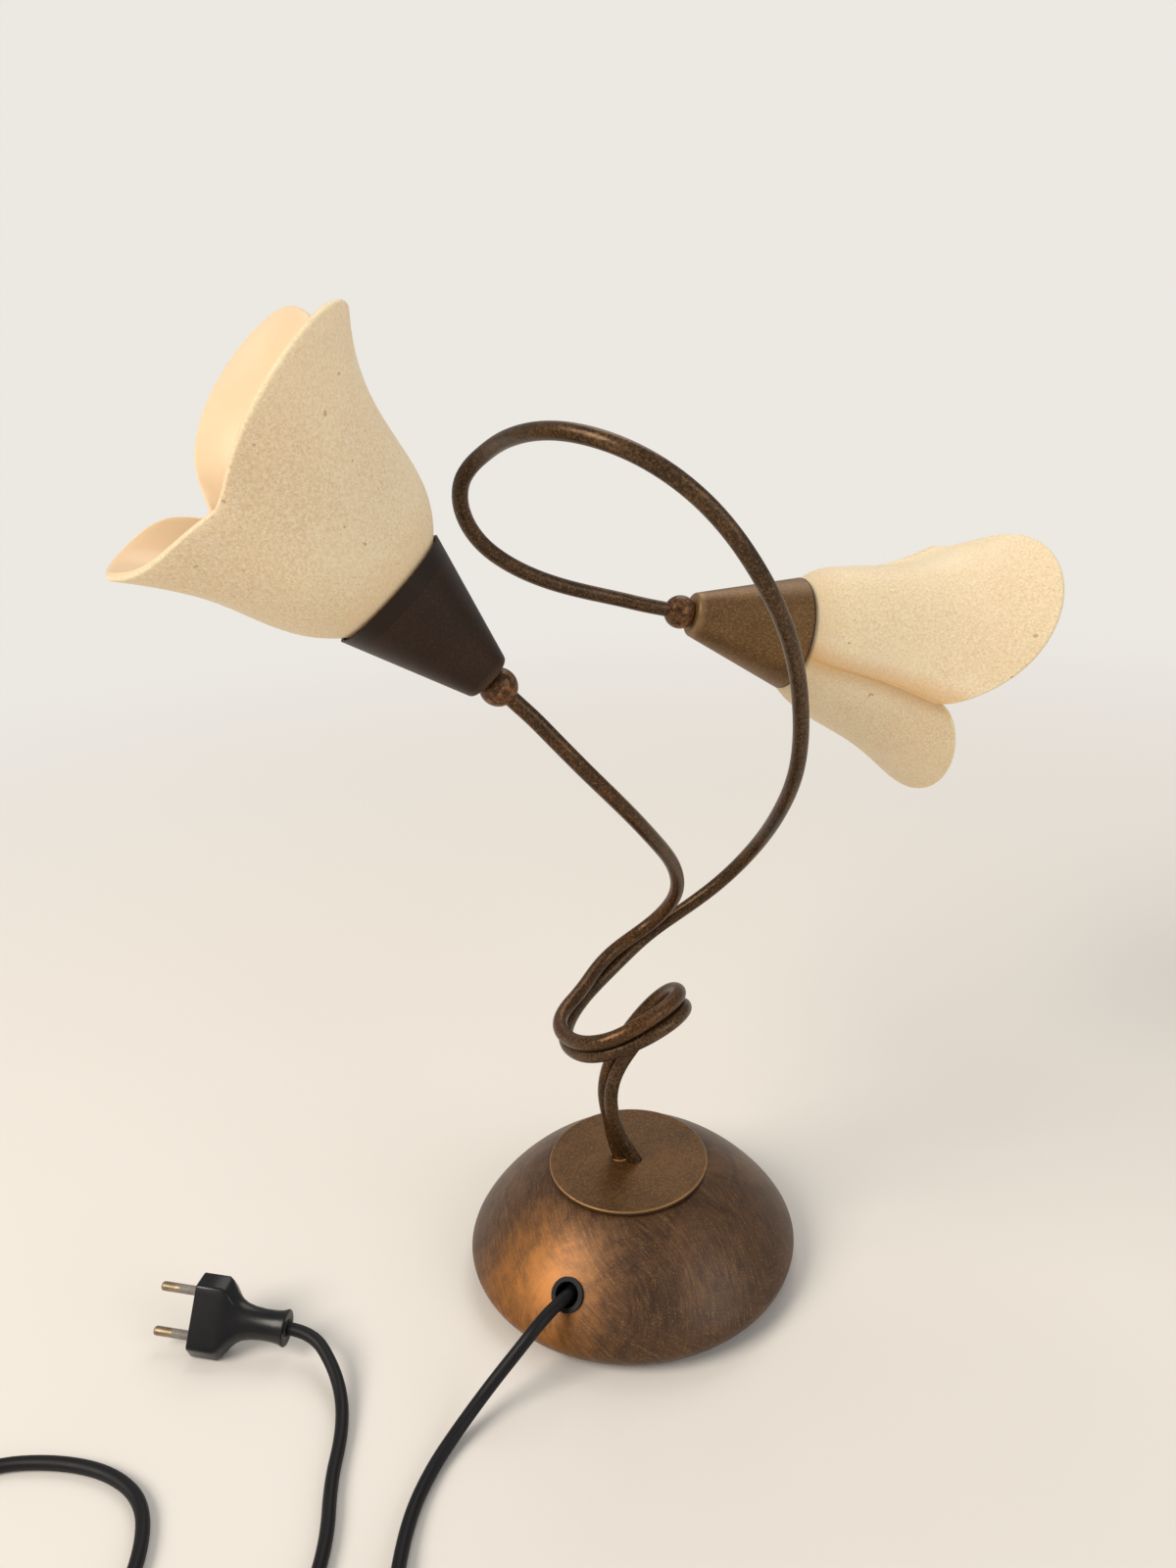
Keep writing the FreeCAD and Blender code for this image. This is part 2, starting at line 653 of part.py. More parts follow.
def cord_clamp():
    """Strap over the cord, bent from flat bar."""
    length, width, thick = CORD_CLAMP_SIZE
    middle = clamp_centre()
    height = middle.z - WEIGHT_TOP_Z
    bore_r = CORD_D / 2 + CORD_CLAMP_GAP
    strap = Part.makeBox(length, width, thick, V(-length / 2, -width / 2, 0))
    hump = Part.makeCylinder(bore_r + thick, width, V(0, -width / 2, height), V(0, 1, 0))
    legs = Part.makeBox(2 * (bore_r + thick), width, height, V(-bore_r - thick, -width / 2, 0))
    hollow = Part.makeCylinder(bore_r, width, V(0, -width / 2, height), V(0, 1, 0))
    slot = Part.makeBox(2 * bore_r, width, height, V(-bore_r, -width / 2, 0))
    below = Part.makeBox(length, width, length, V(-length / 2, -width / 2, -length))
    body = strap.fuse([hump, legs]).cut(Part.makeCompound([hollow, slot, below]))
    for side in (-1, 1):
        body = body.cut(disc(TERMINAL_SCREW_D / 2 + FIT, 0, thick, side * length * 0.36, 0))
    origin = V(middle.x, middle.y, WEIGHT_TOP_Z)
    return placed(body.removeSplitter(), origin, V(0, 0, 1), clamp_side())


def pan_screw(x, y, seat_z, depth):
    """Small pan-head screw whose head sits at the given height."""
    head = disc(TERMINAL_SCREW_D * 0.9, seat_z, SMALL_HEAD_T, x, y)
    slot = Part.makeBox(TERMINAL_SCREW_D * 2, SMALL_SLOT_W, SMALL_HEAD_T / 2,
                        V(x - TERMINAL_SCREW_D, y - SMALL_SLOT_W / 2, seat_z + SMALL_HEAD_T / 2))
    shank = disc(TERMINAL_SCREW_D / 2, seat_z - depth, depth, x, y)
    return head.cut(slot).fuse(shank)


def terminal_block():
    x, y = TERMINAL_AT
    block_solid = block(TERMINAL_SIZE, x, y, WEIGHT_TOP_Z)
    upright = [edge for edge in block_solid.Edges if edge.BoundBox.ZLength > TERMINAL_SIZE[2] / 2]
    block_solid = block_solid.makeFillet(1.0, upright)
    for sx, sy, _ in small_screw_places()[2:]:
        hole_r = TERMINAL_SCREW_D / 2 + FIT
        block_solid = block_solid.cut(disc(hole_r, WEIGHT_TOP_Z, TERMINAL_SIZE[2], sx, sy))
        well = disc(TERMINAL_SCREW_D, WEIGHT_TOP_Z + TERMINAL_FOOT, TERMINAL_SIZE[2], sx, sy)
        block_solid = block_solid.cut(well)
    return block_solid


# ---- heads: every piece is made along +Z from the bead's centre

def bead_piece():
    ball = Part.makeSphere(BEAD_D / 2)
    ball = ball.cut(block((BEAD_D, BEAD_D, BEAD_D), 0, 0, CUP_START))
    ball = ball.cut(disc(TUBE_D / 2, -BEAD_D, BEAD_D - TUBE_STOP))
    ball = ball.cut(disc(NIPPLE_BORE / 2, -BEAD_D, 2 * BEAD_D))
    return ball.cut(disc(NIPPLE_D / 2, CUP_START - NIPPLE_DEPTH, BEAD_D))


def cup_radius(z):
    """Outer radius of the cup at a height."""
    return CUP_SMALL_R + (CUP_RIM_R - CUP_SMALL_R) * (z - CUP_START) / CUP_LENGTH


def cup_piece():
    outer = turned([(0, CUP_START), (CUP_SMALL_R, CUP_START), (CUP_RIM_R, CUP_RIM_Z), (0, CUP_RIM_Z)])
    small = [edge for edge in outer.Edges
             if edge.BoundBox.ZMax < CUP_START + FIT and edge.Length > CUP_SMALL_R]
    outer = outer.makeFillet(CUP_ROUND, small)
    floor_z = CUP_START + CUP_FLOOR
    inner = turned([(0, floor_z), (cup_radius(floor_z) - CUP_WALL, floor_z),
                    (CUP_RIM_R - CUP_WALL, CUP_RIM_Z), (0, CUP_RIM_Z)])
    hole = disc(NIPPLE_D / 2 + FIT, CUP_START, CUP_FLOOR)
    return outer.cut(inner).cut(hole)


def nipple_piece():
    return ring(NIPPLE_D / 2, NIPPLE_BORE / 2, CUP_START - NIPPLE_DEPTH,
                NIPPLE_TOP_Z - CUP_START + NIPPLE_DEPTH)


def nut_piece():
    corners = []
    for x, y in round_places(6, NUT_FLATS / math.sqrt(3)):
        corners.append(V(x, y, NUT_Z))
    body = Part.Face(Part.makePolygon(corners + corners[:1])).extrude(V(0, 0, NUT_T))
    return body.cut(disc(NIPPLE_D / 2, NUT_Z, NUT_T))


def holder_piece():
    neck_top = HOLDER_Z + HOLDER_NECK_L
    body_r = HOLDER_D / 2
    top = GLASS_SEAT_Z + HOLDER_SLEEVE_L
    outline = [(0, HOLDER_Z), (HOLDER_NECK_D / 2, HOLDER_Z), (HOLDER_NECK_D / 2, neck_top),
               (body_r, neck_top + HOLDER_CONE_L), (body_r, HOLDER_FLANGE_Z),
               (HOLDER_FLANGE_D / 2, HOLDER_FLANGE_Z), (HOLDER_FLANGE_D / 2, GLASS_SEAT_Z),
               (body_r, GLASS_SEAT_Z), (body_r, top), (0, top)]
    body = turned(outline)
    body = body.cut(disc(HOLDER_BORE_R, HOLDER_BORE_Z, CUP_RIM_Z))
    return body.cut(disc(NIPPLE_D / 2, HOLDER_Z, LEAD_END_Z - HOLDER_Z))


def contacts_piece():
    shell_z = HOLDER_BORE_Z + CONTACT_SHELL_UP
    shell = ring(HOLDER_BORE_R, CAP_D / 2 + FIT, shell_z, CAP_L / 2)
    tongue = disc(CAP_D / 5, HOLDER_BORE_Z, CAP_Z - HOLDER_BORE_Z)
    return Part.makeCompound([shell, tongue])


def ring_piece():
    body = ring(RING_D / 2, HOLDER_D / 2 + RING_GAP, GLASS_SEAT_Z + GLASS_T, RING_L)
    for x, y in round_places(12, RING_D / 2 + RING_GAP * 3):
        body = body.cut(disc(RING_GAP * 5, GLASS_SEAT_Z + GLASS_T, RING_L, x, y))
    return body


def bulb_cap_piece():
    top = CAP_Z + CAP_L
    return turned([(0, CAP_Z), (CAP_D / 5, CAP_Z), (CAP_D / 2 - 1, CAP_Z + 3),
                   (CAP_D / 2, CAP_Z + 4), (CAP_D / 2, top), (0, top)])


def bulb_glass_piece():
    start = CAP_Z + CAP_L
    r = BULB_D / 2
    centre_z = start + BULB_L - r
    stations = [V(CAP_D / 2, 0, start), V(CAP_D / 2 + 1.2, 0, start + 5),
                V(r * 0.72, 0, centre_z - r * 0.85), V(r, 0, centre_z),
                V(r * 0.7, 0, centre_z + r * 0.72), V(0, 0, start + BULB_L)]
    curve = Part.BSplineCurve()
    curve.interpolate(Points=stations, InitialTangent=V(0, 0, 1), FinalTangent=V(-1, 0, 0))
    edges = [curve.toShape(), Part.LineSegment(stations[-1], V(0, 0, start)).toShape(),
             Part.LineSegment(V(0, 0, start), stations[0]).toShape()]
    return Part.Face(Part.Wire(edges)).revolve(V(0, 0, 0), V(0, 0, 1), 360)


# ---- glass shades, built from bands between rings of points round the axis

def petal_rings(size, lobe):
    """Control rings of one petal's outer surface, from the neck to the edge."""
    before = (lobe - 1) % PETAL_COUNT
    rings = [[] for _ in range(5)]
    for k in range(PETAL_STEPS + 1):
        across = 0.5 - 0.5 * math.cos(math.pi * k / PETAL_STEPS)
        crest = math.sin(math.pi * across)
        lean = across * across * (3 - 2 * across)
        notch = size["notch_h"][before]
        notch += (size["notch_h"][lobe] - notch) * lean
        height = notch + (size["tip_h"][lobe] - notch) * crest ** size["height_power"]
        share = crest ** size["radius_power"]
        radii = [GLASS_NECK_R, size["low_r"],
                 size["mid_valley_r"] + (size["mid_petal_r"] - size["mid_valley_r"]) * share,
                 size["high_valley_r"] + (size["high_petal_r"] - size["high_valley_r"]) * share,
                 size["notch_r"] + (size["tip_r"][lobe] - size["notch_r"]) * share]
        for row, radius in enumerate(radii):
            rings[row].append((radius, CUP_RIM_Z + height * row / 4))
    return rings


def inward(rings, thickness):
    """The control rings moved inwards, square to the legs between them."""
    moved = [[] for _ in rings]
    for k in range(len(rings[0])):
        legs = []
        for low, high in zip(rings, rings[1:]):
            dr = high[k][0] - low[k][0]
            dz = high[k][1] - low[k][1]
            length = math.hypot(dr, dz)
            legs.append((dr / length, dz / length))
        for row in range(len(rings)):
            r, z = rings[row][k]
            if row == 0:
                moved[row].append((r - thickness * GLASS_NECK_THICKEN, z))
                continue
            before = legs[row - 1]
            after = legs[min(row, len(legs) - 1)]
            nr = -(before[1] + after[1])
            nz = before[0] + after[0]
            scale = thickness / (math.hypot(nr, nz) / 2) / math.hypot(nr, nz)
            moved[row].append((r + nr * scale, z + nz * scale))
    return moved


def rim_rings(outer, inner):
    """Control rings of the rounded edge from the outer to the inner surface."""
    first = []
    second = []
    for k in range(len(outer[-1])):
        for rings, target in ((outer, first), (inner, second)):
            dr = rings[-1][k][0] - rings[-2][k][0]
            dz = rings[-1][k][1] - rings[-2][k][1]
            length = math.hypot(dr, dz)
            target.append((rings[-1][k][0] + dr / length * GLASS_RIM_ROUND,
                           rings[-1][k][1] + dz / length * GLASS_RIM_ROUND))
    return [outer[-1], first, second, inner[-1]]


def collar_rings():
    """Rings of the plain neck, from the inner surface round to the outer one."""
    seat = GLASS_SEAT_Z
    floor = seat + GLASS_T
    inner_r = GLASS_NECK_R - GLASS_T * GLASS_NECK_THICKEN
    floor_r = GLASS_SEAT_R - 0.4 * GLASS_T
    outline = [(inner_r, CUP_RIM_Z), (floor_r, floor), (GLASS_HOLE_R, floor),
               (GLASS_HOLE_R, seat), (GLASS_SEAT_R, seat), (GLASS_NECK_R, CUP_RIM_Z)]
    return [[place] * (PETAL_STEPS + 1) for place in outline]


def band(rings, lobe, turn):
    """Surface with the rings as control rows; one petal wide."""
    rows = []
    for places in rings:
        points = []
        for k, (r, z) in enumerate(places):
            across = 0.5 - 0.5 * math.cos(math.pi * k / PETAL_STEPS)
            angle = math.radians(turn + 360.0 / PETAL_COUNT * (lobe - 0.5 + across))
            points.append(V(r * math.cos(angle), r * math.sin(angle), z))
        curve = Part.BSplineCurve()
        curve.interpolate(Points=points, Parameters=[float(k) for k in range(len(points))])
        rows.append(curve)
    degree = len(rows) - 1
    surface = Part.BSplineSurface()
    surface.buildFromPolesMultsKnots(
        [row.getPoles() for row in rows], [degree + 1, degree + 1], rows[0].getMultiplicities(),
        [0.0, 1.0], rows[0].getKnots(), False, False, degree, rows[0].Degree)
    return surface.toShape()


def glass_piece(size):
    faces = []
    for lobe in range(PETAL_COUNT):
        outer = petal_rings(size, lobe)
        inner = inward(outer, GLASS_T)
        bands = [outer, rim_rings(outer, inner), inner]
        collar = collar_rings()
        bands += [list(pair) for pair in zip(collar, collar[1:])]
        for rings in bands:
            faces.append(band(rings, lobe, size["turn"]))
    skin = Part.makeCompound(faces)
    skin.sewShape(1e-3)
    solid = Part.Solid(skin.Shells[0])
    if solid.Volume < 0:
        solid.reverse()
    return solid


# ---- cord, switch and coil

def heading(degrees):
    angle = math.radians(degrees)
    return V(math.cos(angle), math.sin(angle), 0)


def switch_end(side):
    """Middle of the cord's end face at one end of the switch."""
    along = heading(SWITCH_HEADING)
    return V(SWITCH_AT[0], SWITCH_AT[1], SWITCH_CORD_Z) + along * (side * SWITCH_L / 2)


def coil_turns():
    """Turns of the coil in all, clockwise from its start to its end."""
    return COIL_FULL_TURNS + ((COIL_START - COIL_END) % 360.0) / 360.0


def coil_point(turns):
    """Middle line of the coil; it goes in on the lower layer and out on the upper one."""
    half = coil_turns() / 2
    place = turns - half
    if abs(place) > COIL_BLEND:
        away = abs(place)
    else:
        away = (place * place / COIL_BLEND + COIL_BLEND) / 2
    radius = COIL_OUT_R - COIL_PITCH * (half - away)
    climb = min(1.0, max(0.0, (place / COIL_BLEND + 1) / 2))
    z = CORD_D / 2 - COIL_FLAT + COIL_LAYER * climb * climb * (3 - 2 * climb)
    angle = math.radians(COIL_START - 360.0 * turns)
    return V(COIL_AT[0] + radius * math.cos(angle), COIL_AT[1] + radius * math.sin(angle), z)


def coil_way(turns):
    step = 1e-4
    return (coil_point(turns + step) - coil_point(turns - step)).normalize()


def coil_curves():
    """Straight ends one diameter long and arcs of about a quarter turn between them."""
    total = coil_turns()
    half = total / 2
    count = int(math.ceil((half - COIL_BLEND) / COIL_SPAN))
    places = [(half - COIL_BLEND) * k / count for k in range(count)]
    places += [half - COIL_BLEND, half - COIL_BLEND / 2, half, half + COIL_BLEND / 2]
    places += [half + COIL_BLEND + (half - COIL_BLEND) * k / count for k in range(count + 1)]
    points = [coil_point(place) for place in places]
    ways = [coil_way(place) for place in places]
    points[0].z += COIL_FLAT
    for k in (0, -1):
        ways[k] = V(ways[k].x, ways[k].y, 0).normalize()
    first = Part.LineSegment(points[0] - ways[0] * CORD_D, points[0])
    last = Part.LineSegment(points[-1], points[-1] + ways[-1] * CORD_D)
    return [first] + smooth_arcs(points, ways) + [last]


def least_gap(curves):
    """Smallest gap between stretches of the coil that lie side by side."""
    line = []
    for curve in curves:
        edge = curve.toShape()
        line += edge.discretize(max(2, int(edge.Length / 3)))[:-1]
    steps = int(4 * CORD_D / 3)
    least = min((a - b).Length for k, a in enumerate(line) for b in line[k + steps:])
    return least - CORD_D


def cord_coil():
    curves = coil_curves()
    print("coil least gap %.2f" % least_gap(curves))
    solid = cord_along(wire_of(curves), "coil")
    reach = 2 * COIL_OUT_R
    below = Part.makeBox(2 * reach, 2 * reach, CORD_D,
                         V(COIL_AT[0] - reach, COIL_AT[1] - reach, -CORD_D))
    return solid.cut(below)


def switch_outline(inset):
    half = SWITCH_L / 2 - inset
    side = SWITCH_W / 2 - inset
    end = SWITCH_END_W / 2 - inset * 0.8
    bend = SWITCH_L / 4
    corners = [(-half, -end), (-bend, -side), (bend, -side), (half, -end),
               (half, end), (bend, side), (-bend, side), (-half, end)]
    points = [V(x, y, 0) for x, y in corners]
    return Part.Face(Part.makePolygon(points + points[:1]))


def switch_shell(z, height, inner_z, inner_height):
    body = switch_outline(0).extrude(V(0, 0, height))
    body.translate(V(0, 0, z))
    flat_z = 0 if z == 0 else SWITCH_H
    edges = [edge for edge in body.Edges
             if abs(edge.BoundBox.ZMin - flat_z) < FIT and abs(edge.BoundBox.ZMax - flat_z) < FIT]
    upright = [edge for edge in body.Edges if edge.BoundBox.ZLength > height / 2]
    body = body.makeFillet(SWITCH_ROUND, edges + upright)
    inner = switch_outline(SWITCH_WALL).extrude(V(0, 0, inner_height))
    inner.translate(V(0, 0, inner_z))
    return body.cut(inner)


def to_switch(shape):
    return placed(shape, V(SWITCH_AT[0], SWITCH_AT[1], 0), V(0, 0, 1), heading(SWITCH_HEADING))


def switch_base():
    split = SWITCH_H * SWITCH_SPLIT
    body = switch_shell(0, split, SWITCH_WALL, split)
    for side in (-1, 1):
        x = side * SWITCH_SCREW_AT
        body = body.fuse(disc(SWITCH_POST_D / 2, SWITCH_WALL, split - SWITCH_WALL, x, 0))
        body = body.cut(disc(SWITCH_SCREW_D / 2 + FIT, 0, split, x, 0))
        body = body.cut(disc(SWITCH_SCREW_D * 0.95, 0, SWITCH_SCREW_SEAT, x, 0))
    return to_switch(body.removeSplitter())


def rocker_slot():
    length = ROCKER_L + 2 * ROCKER_GAP
    width = ROCKER_W + 2 * ROCKER_GAP
    return block((length, width, SWITCH_H), 0, 0, SWITCH_H * SWITCH_SPLIT)


def switch_cover():
    split = SWITCH_H * SWITCH_SPLIT
    body = switch_shell(split, SWITCH_H - split, split, SWITCH_H - split - SWITCH_WALL)
    body = body.cut(rocker_slot())
    lug_y = (ROCKER_W + ROCKER_LUG_T) / 2 + ROCKER_GAP
    lug_z = ROCKER_PIN_Z - ROCKER_PIN_D
    for side in (-1, 1):
        x = side * SWITCH_SCREW_AT
        body = body.fuse(disc(SWITCH_POST_D / 2, split, SWITCH_H - split - SWITCH_WALL, x, 0))
        body = body.cut(disc(SWITCH_SCREW_D / 2, split, SWITCH_SCREW_L - split + SWITCH_SCREW_SEAT,
                             x, 0))
        lug = block((2 * ROCKER_PIN_D, ROCKER_LUG_T, SWITCH_H - SWITCH_WALL - lug_z),
                    0, side * lug_y, lug_z)
        body = body.fuse(lug)
    return to_switch(body.cut(pin_rod(0)).removeSplitter())


def pin_rod(gap):
    half = ROCKER_W / 2 + ROCKER_GAP + ROCKER_LUG_T
    return rod(V(0, -half, ROCKER_PIN_Z), V(0, half, ROCKER_PIN_Z), ROCKER_PIN_D / 2 + gap)


def rocker():
    rise = ROCKER_L / 2 * math.sin(math.radians(ROCKER_TILT))
    top = SWITCH_H + ROCKER_PROUD - rise
    body = rod(V(0, -ROCKER_W / 2, ROCKER_PIN_Z), V(0, ROCKER_W / 2, ROCKER_PIN_Z), ROCKER_L / 2)
    low = ROCKER_PIN_Z - ROCKER_PIN_D
    body = body.common(block((ROCKER_L, ROCKER_W, top - low), 0, 0, low))
    body = body.cut(pin_rod(FIT))
    body.rotate(V(0, 0, ROCKER_PIN_Z), V(0, 1, 0), ROCKER_TILT)
    return to_switch(body)


def switch_screws():
    screws = []
    for side in (-1, 1):
        x = side * SWITCH_SCREW_AT
        head = disc(SWITCH_SCREW_D * 0.9, SWITCH_SCREW_SEAT - SMALL_HEAD_T, SMALL_HEAD_T, x, 0)
        slot = block((SWITCH_SCREW_D * 2, SMALL_SLOT_W, SMALL_HEAD_T / 2), x, 0,
                     SWITCH_SCREW_SEAT - SMALL_HEAD_T)
        shank = disc(SWITCH_SCREW_D / 2, SWITCH_SCREW_SEAT, SWITCH_SCREW_L, x, 0)
        screws.append(head.cut(slot).fuse(shank))
    return to_switch(Part.makeCompound(screws))


# ---- plug: made with its pins along +Z and its wide side along X

def plug_section(width, flat, thick, z):
    corners = [(-width / 2, 0), (-flat / 2, -thick / 2), (flat / 2, -thick / 2),
               (width / 2, 0), (flat / 2, thick / 2), (-flat / 2, thick / 2)]
    points = [V(x, y, z) for x, y in corners]
    return Part.makePolygon(points + points[:1])


def plug_local():
    face = plug_section(PLUG_W, PLUG_FLAT, PLUG_T, 0)
    back = plug_section(PLUG_W, PLUG_FLAT, PLUG_T, -PLUG_BODY_L)
    body = Part.makeLoft([back, face], True, True)
    long_edges = [edge for edge in body.Edges if edge.BoundBox.ZLength > PLUG_BODY_L / 2]
    body = body.makeFillet(PLUG_ROUND, long_edges)
    first_r, waist_r, end_r = PLUG_NECK_R
    start = -PLUG_BODY_L + PLUG_NECK_ROOT
    end = -PLUG_BODY_L - PLUG_NECK_L
    stations = [V(first_r, 0, start), V((first_r + waist_r) / 2, 0, start + (end - start) * 0.3),
                V(waist_r, 0, start + (end - start) * 0.62), V(end_r, 0, end)]
    curve = Part.BSplineCurve()
    curve.interpolate(stations)
    edges = [curve.toShape()]
    for a, b in ((V(end_r, 0, end), V(0, 0, end)), (V(0, 0, end), V(0, 0, start)),
                 (V(0, 0, start), V(first_r, 0, start))):
        edges.append(Part.LineSegment(a, b).toShape())
    neck = Part.Face(Part.Wire(edges)).revolve(V(0, 0, 0), V(0, 0, 1), 360)
    body = body.fuse(neck)
    for x in pin_places():
        body = body.cut(disc(PIN_CORE_D / 2, -PIN_ROOT, PIN_ROOT, x, 0))
    return body


def pin_places():
    return (-PIN_SPACING_ROOT / 2, PIN_SPACING_ROOT / 2)


def pins_local():
    pins = []
    for x in pin_places():
        core = disc(PIN_CORE_D / 2, -PIN_ROOT, PIN_ROOT + PIN_SLEEVE_L, x, 0)
        tip = disc(PIN_D / 2, PIN_SLEEVE_L, PIN_L - PIN_SLEEVE_L, x, 0)
        rim = [edge for edge in tip.Edges if edge.BoundBox.ZMin > PIN_L - FIT]
        pins.append(core.fuse(tip.makeFillet(PIN_D * 0.3, rim)))
    return Part.makeCompound(pins)


def sleeves_local():
    return Part.makeCompound([ring(PIN_D / 2, PIN_CORE_D / 2, 0, PIN_SLEEVE_L, x, 0)
                              for x in pin_places()])


def plug_ways():
    """The way the pins point and the direction of the plug's wide side."""
    level = heading(PLUG_HEADING)
    rise = math.radians(PLUG_RISE)
    along = level * math.cos(rise) + V(0, 0, math.sin(rise))
    flat = V(-level.y, level.x, 0) * -1
    lean = math.radians(PLUG_LEAN)
    return along, flat * math.cos(lean) + along.cross(flat) * -math.sin(lean)


def plug_height():
    """Height of the plug's face centre when the plug lies on the floor."""
    along, wide = plug_ways()
    body = placed(plug_local(), V(PLUG_FACE_AT[0], PLUG_FACE_AT[1], 0), along, wide)
    return -body.optimalBoundingBox(False).ZMin


PLUG_Z = plug_height()


def to_plug(shape):
    along, wide = plug_ways()
    return placed(shape, V(PLUG_FACE_AT[0], PLUG_FACE_AT[1], PLUG_Z), along, wide)


def plug_end():
    along, _ = plug_ways()
    face = V(PLUG_FACE_AT[0], PLUG_FACE_AT[1], PLUG_Z)
    return face - along * (PLUG_BODY_L + PLUG_NECK_L)


def cord_routes():
    """Corner points of every free stretch, from end face to end face."""
    along = heading(SWITCH_HEADING)
    coil = coil_curves()
    coil_in = coil[0].StartPoint
    coil_in_way = (coil[0].EndPoint - coil_in).normalize()
    coil_out = coil[-1].EndPoint
    coil_out_way = (coil_out - coil[-1].StartPoint).normalize()
    pins, _ = plug_ways()
    return {
        "inner_cord": [point(p) for p in INNER_CORD],
        "cord_to_switch": ([point(p) for p in CORD_TO_SWITCH]
                           + [switch_end(-1) - along * SWITCH_RUN, switch_end(-1)]),
        "cord_to_coil": ([switch_end(1), switch_end(1) + along * SWITCH_RUN]
                         + [point(p) for p in CORD_TO_COIL]
                         + [coil_in - coil_in_way * SWITCH_RUN, coil_in]),
        "cord_to_plug": ([coil_out, coil_out + coil_out_way * SWITCH_RUN]
                         + [point(p) for p in CORD_FROM_COIL]
                         + [plug_end() - pins * PLUG_RUN, plug_end()])}


# ---- build and export

def export(name, shape):
    shape.exportStep("parts/" + name + ".step")
    solids = len(shape.Solids)
    print("%-20s solids %d valid %s volume %.0f z %.2f" % (
        name, solids, shape.isValid(), shape.Volume, shape.BoundBox.ZMin))


def main():
    os.makedirs("parts", exist_ok=True)
    sleeve_l = PLATE_UNDER_Z - WEIGHT_TOP_Z
    pieces = {
        "base_shell": base_shell(), "base_disc": base_disc(), "clamp_plate": clamp_plate(),
        "base_weight": base_weight(), "base_felt": disc(FELT_R, 0, FELT_T),
        "base_bolts": base_bolts(),
        "bolt_washers": Part.makeCompound(
            [ring(WASHER_D / 2, BOLT_D / 2 + FIT, WASHER_Z, WASHER_T, x, y)
             for x, y in bolt_places()]),
        "base_sleeves": Part.makeCompound(
            [ring(SLEEVE_D / 2, BOLT_D / 2 + FIT, WEIGHT_TOP_Z, sleeve_l, x, y)
             for x, y in bolt_places()]),
        "cord_grommet": cord_grommet(), "cord_clamp": cord_clamp(),
        "terminal_block": terminal_block()}
    screws = small_screw_places()
    pieces["clamp_screws"] = Part.makeCompound(
        [pan_screw(x, y, WEIGHT_TOP_Z + CORD_CLAMP_SIZE[2], CORD_CLAMP_SIZE[2] + depth)
         for x, y, depth in screws[:2]])
    pieces["terminal_screws"] = Part.makeCompound(
        [pan_screw(x, y, WEIGHT_TOP_Z + TERMINAL_FOOT, TERMINAL_FOOT + depth)
         for x, y, depth in screws[2:]])

    for side, size, block_side in (("left", LEFT_GLASS, 1), ("right", RIGHT_GLASS, -1)):
        bead, axis = HEADS[side]
        pieces[side + "_arm"] = arm_tube(side)
        pieces[side + "_lead"] = lead(side, block_side)
        head = {
            "cup": cup_piece(), "nipple": nipple_piece(), "nut": nut_piece(),
            "lampholder": holder_piece(), "contacts": contacts_piece(),
            "shade_ring": ring_piece(), "glass": glass_piece(size),
            "bulb_cap": bulb_cap_piece(), "bulb_glass": bulb_glass_piece(),
            "bead": bead_piece()}
        for name, shape in head.items():
            pieces[side + "_" + name] = placed(shape, bead, axis)

    pieces["switch_base"] = switch_base()
    pieces["switch_cover"] = switch_cover()
    pieces["rocker"] = rocker()
    pieces["rocker_pin"] = to_switch(pin_rod(0))
    pieces["switch_screws"] = switch_screws()
    for name, points in cord_routes().items():
        pieces[name] = cord_along(route_wire(points, name), name)
    pieces["cord_coil"] = cord_coil()
    pieces["plug_body"] = to_plug(plug_local())
    pieces["plug_pins"] = to_plug(pins_local())
    pieces["plug_sleeves"] = to_plug(sleeves_local())

    for name, shape in pieces.items():
        export(name, shape)
    print(len(pieces), "pieces")


main()
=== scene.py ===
"""Finishes, cord, camera and stage for a two-arm table lamp with glass tulip shades."""

import math

import bmesh
import bpy
from mathutils import Matrix, Vector


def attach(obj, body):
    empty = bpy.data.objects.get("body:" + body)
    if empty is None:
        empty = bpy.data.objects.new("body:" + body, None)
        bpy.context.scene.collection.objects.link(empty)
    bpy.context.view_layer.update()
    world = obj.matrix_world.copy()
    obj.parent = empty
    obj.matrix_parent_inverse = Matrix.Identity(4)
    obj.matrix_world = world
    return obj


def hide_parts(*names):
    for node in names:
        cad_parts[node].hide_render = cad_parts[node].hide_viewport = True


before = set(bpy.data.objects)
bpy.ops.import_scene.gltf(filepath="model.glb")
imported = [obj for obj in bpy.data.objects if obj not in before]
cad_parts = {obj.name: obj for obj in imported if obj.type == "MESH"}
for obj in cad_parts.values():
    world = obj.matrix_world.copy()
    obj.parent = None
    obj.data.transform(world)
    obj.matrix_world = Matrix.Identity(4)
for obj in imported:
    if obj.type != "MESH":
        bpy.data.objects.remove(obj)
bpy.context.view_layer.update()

bl_info = {
    "name": "Tulip shade table lamp",
    "version": (1, 0, 0),
    "blender": (4, 5, 0),
    "location": "3D View > Sidebar > Table Lamp",
    "description": "Finishes, cord, camera and stage of a table lamp with two tulip shades",
    "category": "Object",
}

MM = 0.001

# the curve from display colours to linear ones
SRGB_KNEE = 0.04045
SRGB_SLOPE = 12.92
SRGB_OFFSET = 0.055
SRGB_POWER = 2.4


def tint(code):
    """Linear colour of a six-digit display colour."""
    shown = [int(code[k:k + 2], 16) / 255 for k in (0, 2, 4)]
    return tuple(p / SRGB_SLOPE if p <= SRGB_KNEE
                 else ((p + SRGB_OFFSET) / (1 + SRGB_OFFSET)) ** SRGB_POWER for p in shown)


